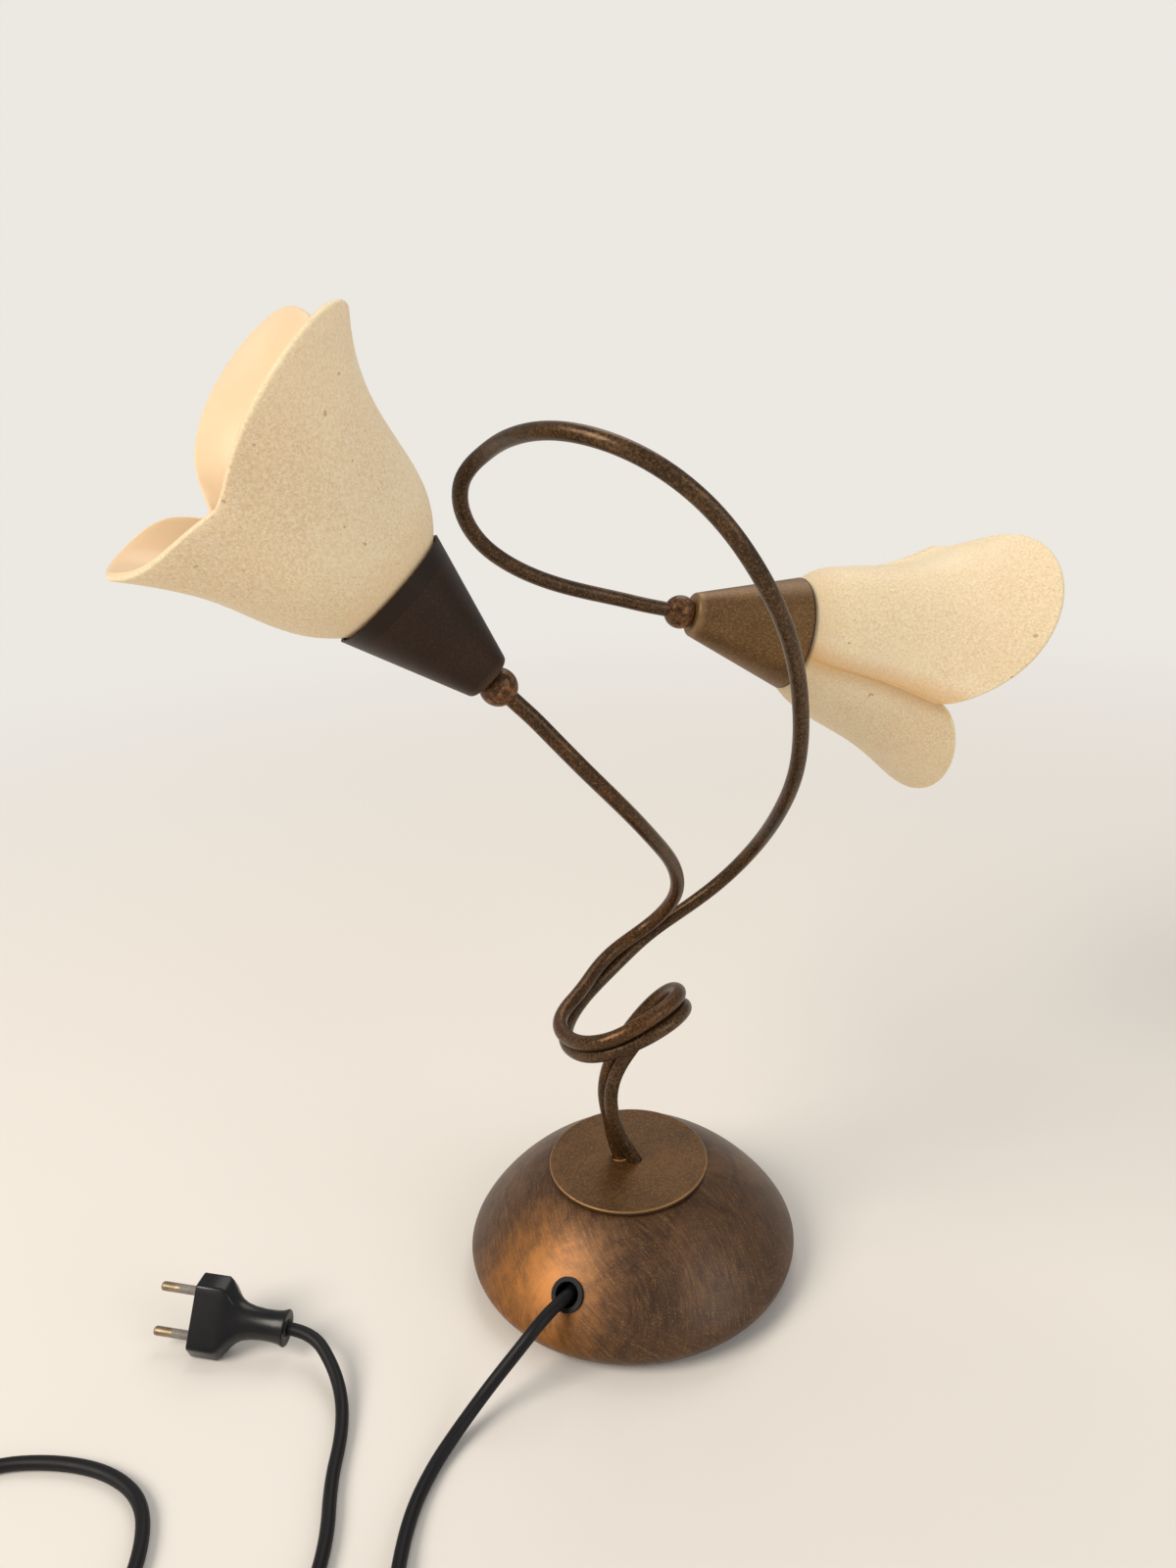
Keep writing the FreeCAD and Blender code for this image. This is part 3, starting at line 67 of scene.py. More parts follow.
def eased(share):
    """A share held between 0 and 1, with a soft start and end."""
    share = min(1.0, max(0.0, share))
    return share * share * (3 - 2 * share)


# ---- places, in millimetres, the same as in the part's source

# the middle of each head's bead, and the way the head points
HEADS = {
    "left": (Vector((-39.4, -36.4, 292.8)), Vector((-0.66, -0.115, 0.743)).normalized()),
    "right": (Vector((35.8, 47.7, 300.0)), Vector((0.936, 0.218, -0.277)).normalized()),
}
# where a cup begins and ends, along its head from the bead
CUP_FROM = 5.0
CUP_TO = 52.9
RIGHT_NOTCH = Vector((140.2, 18.4, 260.5))
DISC_R = 37.1
DISC_TOP = 52.4
# where the left arm goes into the disc, and the radius of the painted glint's ring round it
LEFT_FOOT = Vector((-4.0, 1.6, 52.4))
GLINT_R = 3.75

CORD_TO_SWITCH = [
    (-33.2, -61.4, 28.7), (-37.2, -66.9, 29.75), (-43.5, -74, 28), (-50.5, -79, 22.5),
    (-58.5, -84, 16), (-67, -90.5, 9.5), (-76.5, -101, 4.3), (-84.5, -114.5, 2.7),
    (-90.5, -132, 2.7), (-92.5, -153, 3.2), (-91.25, -172.16, 5.5), (-92.3, -184.12, 5.5),
]
CORD_TO_COIL = [
    (-97.7, -245.88, 5.5), (-98.75, -257.84, 5.5), (-106, -273, 3.4), (-124, -286.5, 2.7),
    (-152, -292.5, 2.7), (-185, -291, 2.7), (-212.6, -288.48, 2.7), (-224.6, -288.15, 2.7),
]
CORD_FROM_COIL = [
    (-264.35, -267.46, 8.2), (-271.5, -257.82, 8.2), (-283.5, -235, 5.2), (-294.5, -207, 2.7),
    (-301.5, -174, 2.7), (-302, -141, 2.7), (-289, -115, 2.7), (-264, -102, 2.7),
    (-237, -102, 2.7), (-212, -108.5, 2.7), (-194, -122, 2.7), (-187.5, -144, 2.7),
    (-190, -168, 2.7), (-179, -191, 2.7), (-156, -198, 2.7), (-134, -187, 2.7),
    (-122.5, -166, 2.7), (-120, -142, 2.7), (-123.5, -118, 2.7), (-123, -98, 2.7),
    (-125.5, -82, 4.2), (-131.5, -68.5, 8), (-142.48, -54.22, 12.53), (-154.2, -51.73, 13.16),
]

# the put-away coil: two layers of turns, in on the lower one and out on the upper one
COIL_AT = (-230.0, -250.0)
COIL_OUT_R = 38.0
COIL_PITCH = 6.6
COIL_TURNS = 4 + 55 / 360
COIL_START = 270.0
COIL_BLEND = 0.25
COIL_LOW_Z = 2.7
COIL_LAYER = 5.5
COIL_STEPS = 24


# ---- shapes that the scene adds, in millimetres and degrees

# how finely a cord's curve is divided round it and between two of its points
CORD_ROUND_STEPS = 5
CORD_RUN_STEPS = 8
CORD_ORDER = 3

# the left shade's lower petal: its angle round the axis and where along the axis it opens
PETAL_AT = 284.0
PETAL_HALF = 60.0
PETAL_FROM = 70.0
PETAL_RUN = 50.0
# place across the petal, width and height of each of its curls
PETAL_CURL = ((-0.68, 0.34, 8.0), (0.46, 0.34, -7.5), (0.0, 0.25, -1.5))
PETAL_TIP_IN = 2.2
PETAL_TIP_WIDTH = 0.35
MERGE = 1e-6

# the plug: its face's middle, the way of its pins and of its wide side
PLUG_FACE = Vector((-196.2, -42.8, 15.41))
PLUG_PINS = Vector((-0.9768, 0.2076, 0.0523)).normalized()
PLUG_WIDE = Vector((0.1587, 0.538, 0.8279)).normalized()
PLUG_HALF_W = 17.65
PLUG_HALF_T = 6.85
PLUG_FLAT_HALF = 13.05
# steps round the plug's outline, and the step and place of each of its corners
PLUG_STEPS = 36
PLUG_CORNERS = (
    (0, PLUG_HALF_W, 0.0), (5, PLUG_FLAT_HALF, PLUG_HALF_T), (13, -PLUG_FLAT_HALF, PLUG_HALF_T),
    (18, -PLUG_HALF_W, 0.0), (23, -PLUG_FLAT_HALF, -PLUG_HALF_T),
    (31, PLUG_FLAT_HALF, -PLUG_HALF_T), (36, PLUG_HALF_W, 0.0),
)
# distance behind the face, half width, half thickness, and share of the six-sided outline
PLUG_SECTIONS = (
    (0.0, PLUG_HALF_W, PLUG_HALF_T, 1.0), (12.6, PLUG_HALF_W, PLUG_HALF_T, 1.0),
    (14.4, 16.4, 6.75, 0.95), (16.2, 13.9, 6.5, 0.8), (18.0, 11.4, 6.2, 0.55),
    (20.2, 9.3, 5.9, 0.3), (23.0, 7.8, 5.6, 0.1), (27.0, 6.9, 5.3, 0.0),
    (32.0, 6.5, 5.1, 0.0), (37.0, 6.6, 5.2, 0.0), (40.0, 7.0, 5.5, 0.0),
    (42.0, 7.7, 6.0, 0.0), (43.0, 7.9, 6.2, 0.0), (43.0, 3.6, 3.6, 0.0),
    (41.5, 3.0, 3.0, 0.0),
)
PLUG_EDGE_ANGLE = 32.0
PLUG_EDGE_ROUND = 0.8
PLUG_EDGE_STEPS = 3

# the tie round the coil's turns, and the power of its rounded square
TIE_FROM_R = 23.8
TIE_TO_R = 38.0
TIE_TOP = 11.8
TIE_WIDTH = 4.5
TIE_T = 0.5
TIE_SIDES = 32
TIE_SQUARE = 4

# edges sharper than this stay sharp in the shading
SHADE_SHARP = 50.0
PLUG_SHARP = 40.0
TIE_SHARP = 35.0


# ---- user settings

def colour(name, note, code):
    return bpy.props.FloatVectorProperty(
        name=name, description=note, subtype="COLOR", size=3, min=0, max=1, default=tint(code))


class LampCord(bpy.types.PropertyGroup):
    """Size and colour of the supply cord."""
    thickness: bpy.props.FloatProperty(
        name="Cord thickness", description="Outside diameter of the round supply cord",
        default=0.0054, min=0.003, max=0.009, unit="LENGTH")
    black: colour("Cord black", "Colour of the cord's sheath and of the plug", "0f0e10")


class LampPaint(bpy.types.PropertyGroup):
    """Colours of the arms' brushed bronze paint."""
    dark: colour("Ground", "Dark brown coat under the brushed bronze", "35240f")
    copper: colour("Copper", "Warm copper brushed over the ground", "664221")
    gold: colour("Gold", "Highlights rubbed on last", "9a6f38")


class LampGlass(bpy.types.PropertyGroup):
    """Colours of the tulip shades."""
    sand: colour("Outside", "Sandy cream of the shades' outside", "ecdcbc")
    amber: colour("Amber", "Darker amber in the grain and near the cups", "d8bd92")
    cream: colour("Inside", "Smooth cream of the shades' inside", "edd3ad")


class LampStage(bpy.types.PropertyGroup):
    """Floor and light."""
    floor: colour("Floor", "Colour of the pale floor", "e4dfd8")
    backdrop: colour("Backdrop", "Colour behind the lamp", "ece8e2")
    key_power: bpy.props.FloatProperty(
        name="Main light", description="Power of the large soft light on the left",
        default=58.0, min=1, max=500, unit="POWER")
    fill_power: bpy.props.FloatProperty(
        name="Fill light", description="Power of the soft lights on the right and above",
        default=21.0, min=0, max=500, unit="POWER")


# ---- shader expressions

# a colour Mix node's sockets, which share their names with those of its other kinds
MIX_FACTOR, MIX_FIRST, MIX_SECOND, MIX_RESULT = 0, 6, 7, 2


class Wire:
    """An output socket that can be used in a Python expression."""

    def __init__(self, finish, socket):
        self.finish = finish
        self.socket = socket

    def maths(self, operation, *others):
        values = dict(enumerate((self, *others)))
        return self.finish.add("ShaderNodeMath", {"operation": operation}, values)

    def __add__(self, other):
        return self.maths("ADD", other)

    def __sub__(self, other):
        return self.maths("SUBTRACT", other)

    def __rsub__(self, other):
        return self.finish.add("ShaderNodeMath", {"operation": "SUBTRACT"}, {0: other, 1: self})

    def __mul__(self, other):
        return self.maths("MULTIPLY", other)

    __radd__ = __add__
    __rmul__ = __mul__


class Finish:
    """A material with one Principled shader and the nodes that feed it."""

    def __init__(self, name, **fixed):
        self.material = bpy.data.materials.new(name)
        self.material.use_nodes = True
        self.tree = self.material.node_tree
        self.shader = self.tree.nodes["Principled BSDF"]
        for key, value in fixed.items():
            self.shader.inputs[key.replace("_", " ")].default_value = value
        self.place = self.add("ShaderNodeTexCoord", {}, {}, "Object")

    def add(self, kind, settings, values, output=0):
        """A node of any kind, with its settings made first; returns one of its outputs."""
        node = self.tree.nodes.new(kind)
        for key, value in settings.items():
            setattr(node, key, value)
        for key, value in values.items():
            self.feed(node.inputs[key], value)
        return Wire(self, node.outputs[output])

    def feed(self, socket, value):
        """Links a wire to the socket, or sets a value on it."""
        if isinstance(value, Wire):
            self.tree.links.new(value.socket, socket)
        elif socket.type == "RGBA":
            socket.default_value = (*value, 1)
        else:
            socket.default_value = value

    def noise(self, scale, detail=3.0, rough=0.55, warp=0.0, at=None):
        return self.add("ShaderNodeTexNoise", {}, {
            "Vector": at or self.place, "Scale": scale, "Detail": detail,
            "Roughness": rough, "Distortion": warp})

    def vector(self, operation, first, second, output="Vector"):
        return self.add("ShaderNodeVectorMath", {"operation": operation},
                        {0: first, 1: second}, output)

    def dot(self, first, second):
        return self.vector("DOT_PRODUCT", first, second, "Value")

    def distance(self, point):
        return self.vector("DISTANCE", self.place, point, "Value")

    def brushing(self, centre, fine, along):
        """Brush strokes that run in arcs round a point."""
        ring = self.add("ShaderNodeCombineXYZ", {}, {0: self.distance(centre) * fine})
        spread = self.vector("MULTIPLY", self.place, (along, along, along))
        return self.noise(scale=1.0, detail=4, rough=0.6, warp=0.6,
                          at=self.vector("ADD", spread, ring))

    def between(self, value, low, high):
        """0 below low and 1 above high, smoothly."""
        return self.add("ShaderNodeMapRange", {"interpolation_type": "SMOOTHSTEP"},
                        {"Value": value, "From Min": low, "From Max": high})

    def between_mm(self, value, low, high):
        """The same, with low and high in millimetres."""
        return self.between(value, low * MM, high * MM)

    def mix(self, factor, first, second):
        return self.add("ShaderNodeMix", {"data_type": "RGBA"},
                        {MIX_FACTOR: factor, MIX_FIRST: first, MIX_SECOND: second}, MIX_RESULT)

    def layer(self, base, coat, where, cover):
        """A coat over the base, which hides no more of it than its cover."""
        return self.mix(where * cover, base, coat)

    def bump(self, height, strength, depth):
        return self.add("ShaderNodeBump", {},
                        {"Height": height, "Strength": strength, "Distance": depth})

    def done(self, **linked):
        """The material, with these inputs of its shader fed."""
        for key, value in linked.items():
            self.feed(self.shader.inputs[key.replace("_", " ")], value)
        return self.material


def paint(finish, *nodes):
    """The CAD nodes take this finish in every slot."""
    for name in nodes:
        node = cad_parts[name]
        if not node.data.materials:
            node.data.materials.append(finish)
        for slot in node.material_slots:
            slot.material = finish


def axial(finish, side):
    """Distance from the bead's middle along a head's axis, and the unit vector out from it."""
    bead, axis = HEADS[side]
    from_bead = finish.vector("SUBTRACT", finish.place, tuple(bead * MM))
    along = finish.dot(from_bead, tuple(axis))
    on_axis = finish.add("ShaderNodeVectorMath", {"operation": "SCALE"},
                         {0: tuple(axis), "Scale": along})
    out = finish.vector("SUBTRACT", from_bead, on_axis)
    return along, finish.add("ShaderNodeVectorMath", {"operation": "NORMALIZE"}, {0: out})


# ---- finishes

HUES = {name: tint(code) for name, code in {
    "dome_ground": "412b1a", "dome_copper": "67472b", "dome_deep": "3a2616",
    "dome_gold": "8b6741", "dome_warm_and_lit": "b06f26",
    "disc_ground": "4a3218", "disc_copper": "684724", "disc_gold": "8d6734",
    "disc_rim_highlight": "a98152", "disc_side_shade": "3a2818", "foot_glint": "dba35c",
    # the right arm's darker brown is painted shade on the same paint as the left arm
    "arm_shaded_brown": "61462c",
    "bead_ground": "3f2a1a", "bead_copper": "85572f", "bead_gold": "b08350",
    # both cups have one paint: the left cup's hues are darkened as painted shade and the right
    # cup's lightened as painted light
    "left_cup_ground": "2b1b10", "left_cup_copper": "3b2616", "left_cup_gold": "5f442b",
    "right_cup_ground": "664a2b", "right_cup_copper": "85633b", "right_cup_gold": "b09266",
    "cup_mouth": "20150d",
    "glass_pale": "f8efd9", "glass_cloud": "f0e2c2", "glass_pit": "94713f",
    "glass_warm": "e6c499", "glass_fold_shade": "cf9d5c",
}.items()}

# how metallic the bronze paint is; where copper and gold show on new paint, and how much
# further wear lets them show
BRONZE_METALLIC = 0.55
COPPER_FROM, COPPER_TO, COPPER_WEAR = 0.55, 0.72, 0.2
GOLD_FROM, GOLD_TO, GOLD_WEAR = 0.62, 0.74, 0.12

# the dome, in metres: what its two sets of brush strokes run round, and its warm left side,
# which is partly warmer paint and partly a painted glow of the warm light there
STROKES_ROUND = (-0.03, -0.1, 0.05)
ARCS_ROUND = (0.075, -0.02, 0.075)
WARM_AND_LIT_AT = (-0.05, -0.056, 0.03)
WARM_AND_LIT_FULL_R = 0.006
WARM_AND_LIT_END_R = 0.05
DOME_METALLIC = 0.45

# where the painted highlight on the disc rim's top edge and the painted shade on its side begin
# and are full, in millimetres in from the rim and down from the top, and the ring of the painted
# glint at the foot
RIM_LIGHT_AND_SHADE_FROM, RIM_LIGHT_AND_SHADE_TO = 0.9, 0.3
TOP_HIGHLIGHT_FROM, TOP_HIGHLIGHT_TO = 1.0, 0.5
GLINT_FULL, GLINT_END = 0.35, 0.8
GLINT_FRONT, GLINT_BACK = -1.6, -0.4

# how softly a cup's mouth line begins, and how far up its small end's painted highlight reaches
MOUTH_SOFT = 0.5
SMALL_END_HIGHLIGHT_FROM, SMALL_END_HIGHLIGHT_TO = 1, 4

# how far up a shade the amber goes, and the half widths of the painted shade along the right
# shade's fold
AMBER_RUN = 16
FOLD_FULL, FOLD_END = 0.5, 9
LINE_FULL, LINE_END = 0.2, 1.4


def hues(kind):
    """Ground, copper and gold of a bronze."""
    return [HUES[kind + "_" + coat] for coat in ("ground", "copper", "gold")]


def brushed_bronze(name, ground, copper, gold, worn, grain=1.0, rough=0.42):
    """Dark ground with copper brushed on and small rubbed gold specks."""
    finish = Finish(name, Specular_IOR_Level=0.45)
    clouds = finish.noise(scale=45 * grain, detail=3, rough=0.6, warp=0.4)
    specks = finish.noise(scale=1000 * grain, detail=4, rough=0.68)
    dust = finish.noise(scale=2400 * grain, detail=2, rough=0.6)
    brushed = finish.between(clouds * 0.3 + specks * 0.7,
                             COPPER_FROM - COPPER_WEAR * worn, COPPER_TO - COPPER_WEAR * worn)
    rubbed = finish.between(specks * 0.5 + dust * 0.5,
                            GOLD_FROM - GOLD_WEAR * worn, GOLD_TO - GOLD_WEAR * worn)
    base = finish.layer(ground, copper, brushed, cover=0.85)
    base = finish.layer(base, gold, rubbed, cover=0.6)
    height = specks * 0.6 + dust * 0.4
    return finish, {"Base_Color": base, "Roughness": rough + (specks - 0.5) * 0.35,
                    "Metallic": BRONZE_METALLIC,
                    "Normal": finish.bump(height, strength=0.22, depth=0.0002)}


def bronze(name, *coats, **options):
    """Brushed bronze with no wear of its own."""
    finish, look = brushed_bronze(name, *coats, **options)
    return finish.done(**look)


def dome_bronze():
    """The dome: swirled brush strokes, warmest on its left, partly from warmer paint and partly
    from painted light.
    """
    finish = Finish("dome_bronze", Specular_IOR_Level=0.45, Coat_Weight=0.12,
                    Coat_Roughness=0.3)
    swirl = finish.noise(scale=30, detail=4, rough=0.55, warp=3.2)
    strokes = finish.brushing(STROKES_ROUND, fine=1100, along=120)
    arcs = finish.brushing(ARCS_ROUND, fine=1000, along=140)
    fine = finish.noise(scale=1500, detail=3, rough=0.65)
    patchy = finish.noise(scale=13, detail=2, rough=0.5, warp=0.6)
    turned = finish.between(finish.noise(scale=20, detail=2, rough=0.5, warp=0.8), 0.42, 0.58)
    stroke = strokes * turned + arcs * (1 - turned)
    brushed = finish.between(swirl * 0.5 + stroke * 0.35 + fine * 0.15, 0.36, 0.64)
    # a warm patch on the dome's left: partly warmer paint, partly a painted glow of the warm
    # light on that side
    warm_paint_and_glow = 1 - finish.between(finish.distance(WARM_AND_LIT_AT), WARM_AND_LIT_FULL_R, WARM_AND_LIT_END_R)
    deep = finish.between(patchy, 0.4, 0.62)
    base = finish.mix(brushed, HUES["dome_ground"], HUES["dome_copper"])
    base = finish.layer(base, HUES["dome_deep"], deep, cover=0.5)
    base = finish.layer(base, HUES["dome_gold"],
                        finish.between(stroke * 0.4 + fine * 0.6, 0.5, 0.64), cover=0.5)
    base = finish.mix(warm_paint_and_glow * (0.35 + 0.55 * brushed), base, HUES["dome_warm_and_lit"])
    height = strokes * 0.6 + fine * 0.4
    return finish.done(Base_Color=base, Roughness=0.36 + strokes * 0.22,
                       Metallic=DOME_METALLIC,
                       Normal=finish.bump(height, strength=0.25, depth=0.0003))


def disc_bronze():
    """The disc: speckled, with a painted highlight on its rim's top edge, painted shade on the
    rim's side, and a painted glint round the left arm's foot.
    """
    finish, look = brushed_bronze("disc_bronze", *hues("disc"), worn=0.7, rough=0.44)
    flat = finish.vector("MULTIPLY", finish.place, (1, 1, 0))
    radius = finish.vector("LENGTH", flat, (0, 0, 0), "Value")
    height = finish.dot(finish.place, (0, 0, 1))
    rim = finish.between_mm(radius, DISC_R - RIM_LIGHT_AND_SHADE_FROM, DISC_R - RIM_LIGHT_AND_SHADE_TO)
    top = finish.between_mm(height, DISC_TOP - TOP_HIGHLIGHT_FROM, DISC_TOP - TOP_HIGHLIGHT_TO)
    # painted highlight along the rim's top edge, and painted shade on the rim's side below it
    base = finish.layer(look["Base_Color"], HUES["disc_rim_highlight"], rim * top, cover=0.6)
    base = finish.layer(base, HUES["disc_side_shade"], rim * (1 - top), cover=0.7)
    # a painted glint: a bright crescent on the front side of the left arm's foot
    from_ring = finish.distance(tuple(LEFT_FOOT * MM)) - GLINT_R * MM
    glint = 1 - finish.between_mm(from_ring.maths("ABSOLUTE"), GLINT_FULL, GLINT_END)
    front = 1 - finish.between_mm(finish.dot(finish.place, (0, 1, 0)), GLINT_FRONT, GLINT_BACK)
    look["Base_Color"] = finish.layer(base, HUES["foot_glint"], glint * front, cover=0.9)
    return finish.done(**look)


def cup_bronze(side, worn, band):
    """A cup: evenly speckled, with a darker line at its mouth and a painted highlight on its
    small end.
    """
    coats = hues(side + "_cup")
    finish, look = brushed_bronze(side + "_cup_bronze", *coats, worn=worn, grain=1.1, rough=0.46)
    along, _ = axial(finish, side)
    mouth = finish.between_mm(along, CUP_TO - band, CUP_TO - band + MOUTH_SOFT)
    small_end_highlight = 1 - finish.between_mm(along, CUP_FROM + SMALL_END_HIGHLIGHT_FROM,
                                      CUP_FROM + SMALL_END_HIGHLIGHT_TO)
    base = finish.layer(look["Base_Color"], HUES["cup_mouth"], mouth, cover=0.65)
    # painted highlight on the cup's rounded small end
    look["Base_Color"] = finish.layer(base, coats[-1], small_end_highlight, cover=0.4)
    return finish.done(**look)


def notch_fold(finish, base, out, outside):
    """Painted shade along the right shade's fold, which runs down from the notch between two of
    its petals.
    """
    bead, axis = HEADS["right"]
    reach = RIGHT_NOTCH - bead
    reach -= axis * reach.dot(axis)
    across = axis.cross(reach).normalized()
    off = finish.dot(finish.vector("SUBTRACT", finish.place, tuple(bead * MM)), tuple(across))
    this_side = finish.between(finish.dot(out, tuple(reach.normalized())), 0.6, 0.95)
    fold = 1 - finish.between_mm(off.maths("ABSOLUTE"), FOLD_FULL, FOLD_END)
    line = 1 - finish.between_mm(off.maths("ABSOLUTE"), LINE_FULL, LINE_END)
    # painted shade in the fold's crease, darkest along its middle line
    return finish.mix(this_side * outside * (fold * 0.55 + line * 0.2), base,
                      HUES["glass_fold_shade"])


def tulip_glass(glass, side):
    """A shade: sandy outside, smooth inside, a little amber near its cup."""
    finish = Finish(side + "_tulip_glass", Specular_IOR_Level=0.4, Subsurface_Weight=0.3,
                    Subsurface_Radius=(1.0, 0.62, 0.3), Subsurface_Scale=0.006,
                    Coat_Roughness=0.25)
    along, out = axial(finish, side)
    _, axis = HEADS[side]
    normal = finish.add("ShaderNodeTexCoord", {}, {}, "Normal")
    facing = finish.dot(normal, out) - 0.8 * finish.dot(normal, tuple(axis))
    outside = finish.between(facing, -0.06, 0.06)
    sand = finish.noise(scale=2100, detail=3, rough=0.7)
    grit = finish.noise(scale=900, detail=4, rough=0.7)
    cloud = finish.noise(scale=24, detail=3, rough=0.55, warp=0.4)
    grain = sand * 0.5 + grit * 0.5
    sandy = finish.mix(finish.between(grain, 0.36, 0.6), glass.amber, glass.sand)
    sandy = finish.layer(sandy, HUES["glass_pale"], finish.between(grain, 0.56, 0.7), cover=0.6)
    sandy = finish.layer(sandy, HUES["glass_cloud"], finish.between(cloud, 0.45, 0.7),
                         cover=0.3)
    pits = finish.between(finish.noise(scale=300, detail=1, rough=0.5), 0.74, 0.8)
    sandy = finish.layer(sandy, HUES["glass_pit"], pits, cover=0.5)
    near_cup = 1 - finish.between_mm(along, CUP_TO, CUP_TO + AMBER_RUN)
    smooth = finish.layer(glass.cream, HUES["glass_warm"], finish.between(cloud, 0.35, 0.7),
                          cover=0.4)
    base = finish.mix(outside, smooth, sandy)
    base = finish.layer(base, glass.amber, near_cup, cover=0.45)
    if side == "right":
        base = notch_fold(finish, base, out, outside)
    height = grain * outside
    return finish.done(Base_Color=base, Roughness=0.34 + outside * 0.3,
                       Coat_Weight=0.25 - 0.2 * outside,
                       Normal=finish.bump(height, strength=0.4, depth=0.00025))


def plain_metal(name, bare, worn, rough, grain=260):
    """Bare metal with faint tool marks."""
    finish = Finish(name)
    marks = finish.noise(scale=grain, detail=4, rough=0.6)
    fine = finish.noise(scale=grain * 6, detail=2, rough=0.5)
    base = finish.mix(finish.between(marks, 0.4, 0.65), tint(bare), tint(worn))
    return finish.done(Base_Color=base, Roughness=rough + (fine - 0.5) * 0.3, Metallic=0.95,
                       Normal=finish.bump(fine, strength=0.12, depth=0.0001))


def moulded(name, deep, pale, rough, grain=900, depth=0.00012, **fixed):
    """Moulded plastic, rubber or felt with a fine grain."""
    finish = Finish(name, **fixed)
    clouds = finish.noise(scale=60, detail=3, rough=0.5)
    fine = finish.noise(scale=grain, detail=3, rough=0.6)
    base = finish.mix(finish.between(clouds * 0.5 + fine * 0.5, 0.42, 0.66), deep, pale)
    return finish.done(Base_Color=base, Roughness=rough + (clouds - 0.5) * 0.25,
                       Normal=finish.bump(fine, strength=0.3, depth=depth))


# ---- shapes

def as_piece(name, shape, finish, sharp):
    """Makes a mesh object of a bmesh and lets it ride on the lamp."""
    mesh = bpy.data.meshes.new(name)
    shape.to_mesh(mesh)
    shape.free()
    mesh.shade_smooth()
    mesh.set_sharp_from_angle(angle=math.radians(sharp))
    mesh.materials.append(finish)
    piece = bpy.data.objects.new(name, mesh)
    bpy.context.scene.collection.objects.link(piece)
    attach(piece, "lamp")
    return piece


def opened_petal(finish):
    """The left shade with its lower petal opened out: its far edge up and its near edge down."""
    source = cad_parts["left_glass"].data
    bead, axis = HEADS["left"]
    side = Vector((0, 0, 1)).cross(axis).normalized()
    upward = axis.cross(side)
    shape = bmesh.new()
    shape.from_mesh(source)
    bmesh.ops.remove_doubles(shape, verts=shape.verts, dist=MERGE)
    for vertex in shape.verts:
        place = vertex.co - bead * MM
        weight = eased((place.dot(axis) / MM - PETAL_FROM) / PETAL_RUN)
        angle = math.degrees(math.atan2(place.dot(upward), place.dot(side)))
        across = ((angle - PETAL_AT + 180) % 360 - 180) / PETAL_HALF
        rise = sum(height * math.exp(-((across - middle) / width) ** 2)
                   for middle, width, height in PETAL_CURL)
        inward = PETAL_TIP_IN * math.exp(-(across / PETAL_TIP_WIDTH) ** 2)
        vertex.co += Vector((inward, 0, rise)) * weight * MM
    shade = as_piece("left_shade", shape, finish, SHADE_SHARP)
    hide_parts("left_glass")


def coil_points():
    """Points round the put-away coil: in on the lower layer and out on the upper one."""
    half = COIL_TURNS / 2
    lift = 1 / math.cos(math.pi / COIL_STEPS)
    count = int(COIL_TURNS * COIL_STEPS)
    points = []
    for k in range(1, count + 1):
        place = k * COIL_TURNS / (count + 1) - half
        away = abs(place)
        if away < COIL_BLEND:
            away = (place * place / COIL_BLEND + COIL_BLEND) / 2
        radius = (COIL_OUT_R - COIL_PITCH * (half - away)) * lift
        angle = math.radians(COIL_START - 360.0 * (place + half))
        points.append((COIL_AT[0] + radius * math.cos(angle),
                       COIL_AT[1] + radius * math.sin(angle),
                       COIL_LOW_Z + COIL_LAYER * eased((place / COIL_BLEND + 1) / 2)))
    return points


def six_sided(step):
    """Point of the plug's six-sided outline at one of its steps."""
    for (low, x0, y0), (high, x1, y1) in zip(PLUG_CORNERS, PLUG_CORNERS[1:]):
        if step <= high:
            share = (step - low) / (high - low)
            return x0 + (x1 - x0) * share, y0 + (y1 - y0) * share


def pulled_tube(shape, steps, count):
    """A closed tube of count rings, one unit apart downwards, pulled from a capped circle."""
    bmesh.ops.create_circle(shape, cap_ends=True, segments=steps, radius=1)
    ring = list(shape.edges)
    for _ in range(count - 1):
        made = bmesh.ops.extrude_edge_only(shape, edges=ring)["geom"]
        points = {item for item in made if isinstance(item, bmesh.types.BMVert)}
        bmesh.ops.translate(shape, verts=list(points), vec=(0, 0, -1))
        ring = [edge for edge in shape.edges if set(edge.verts) <= points]
    bmesh.ops.holes_fill(shape, edges=ring, sides=0)


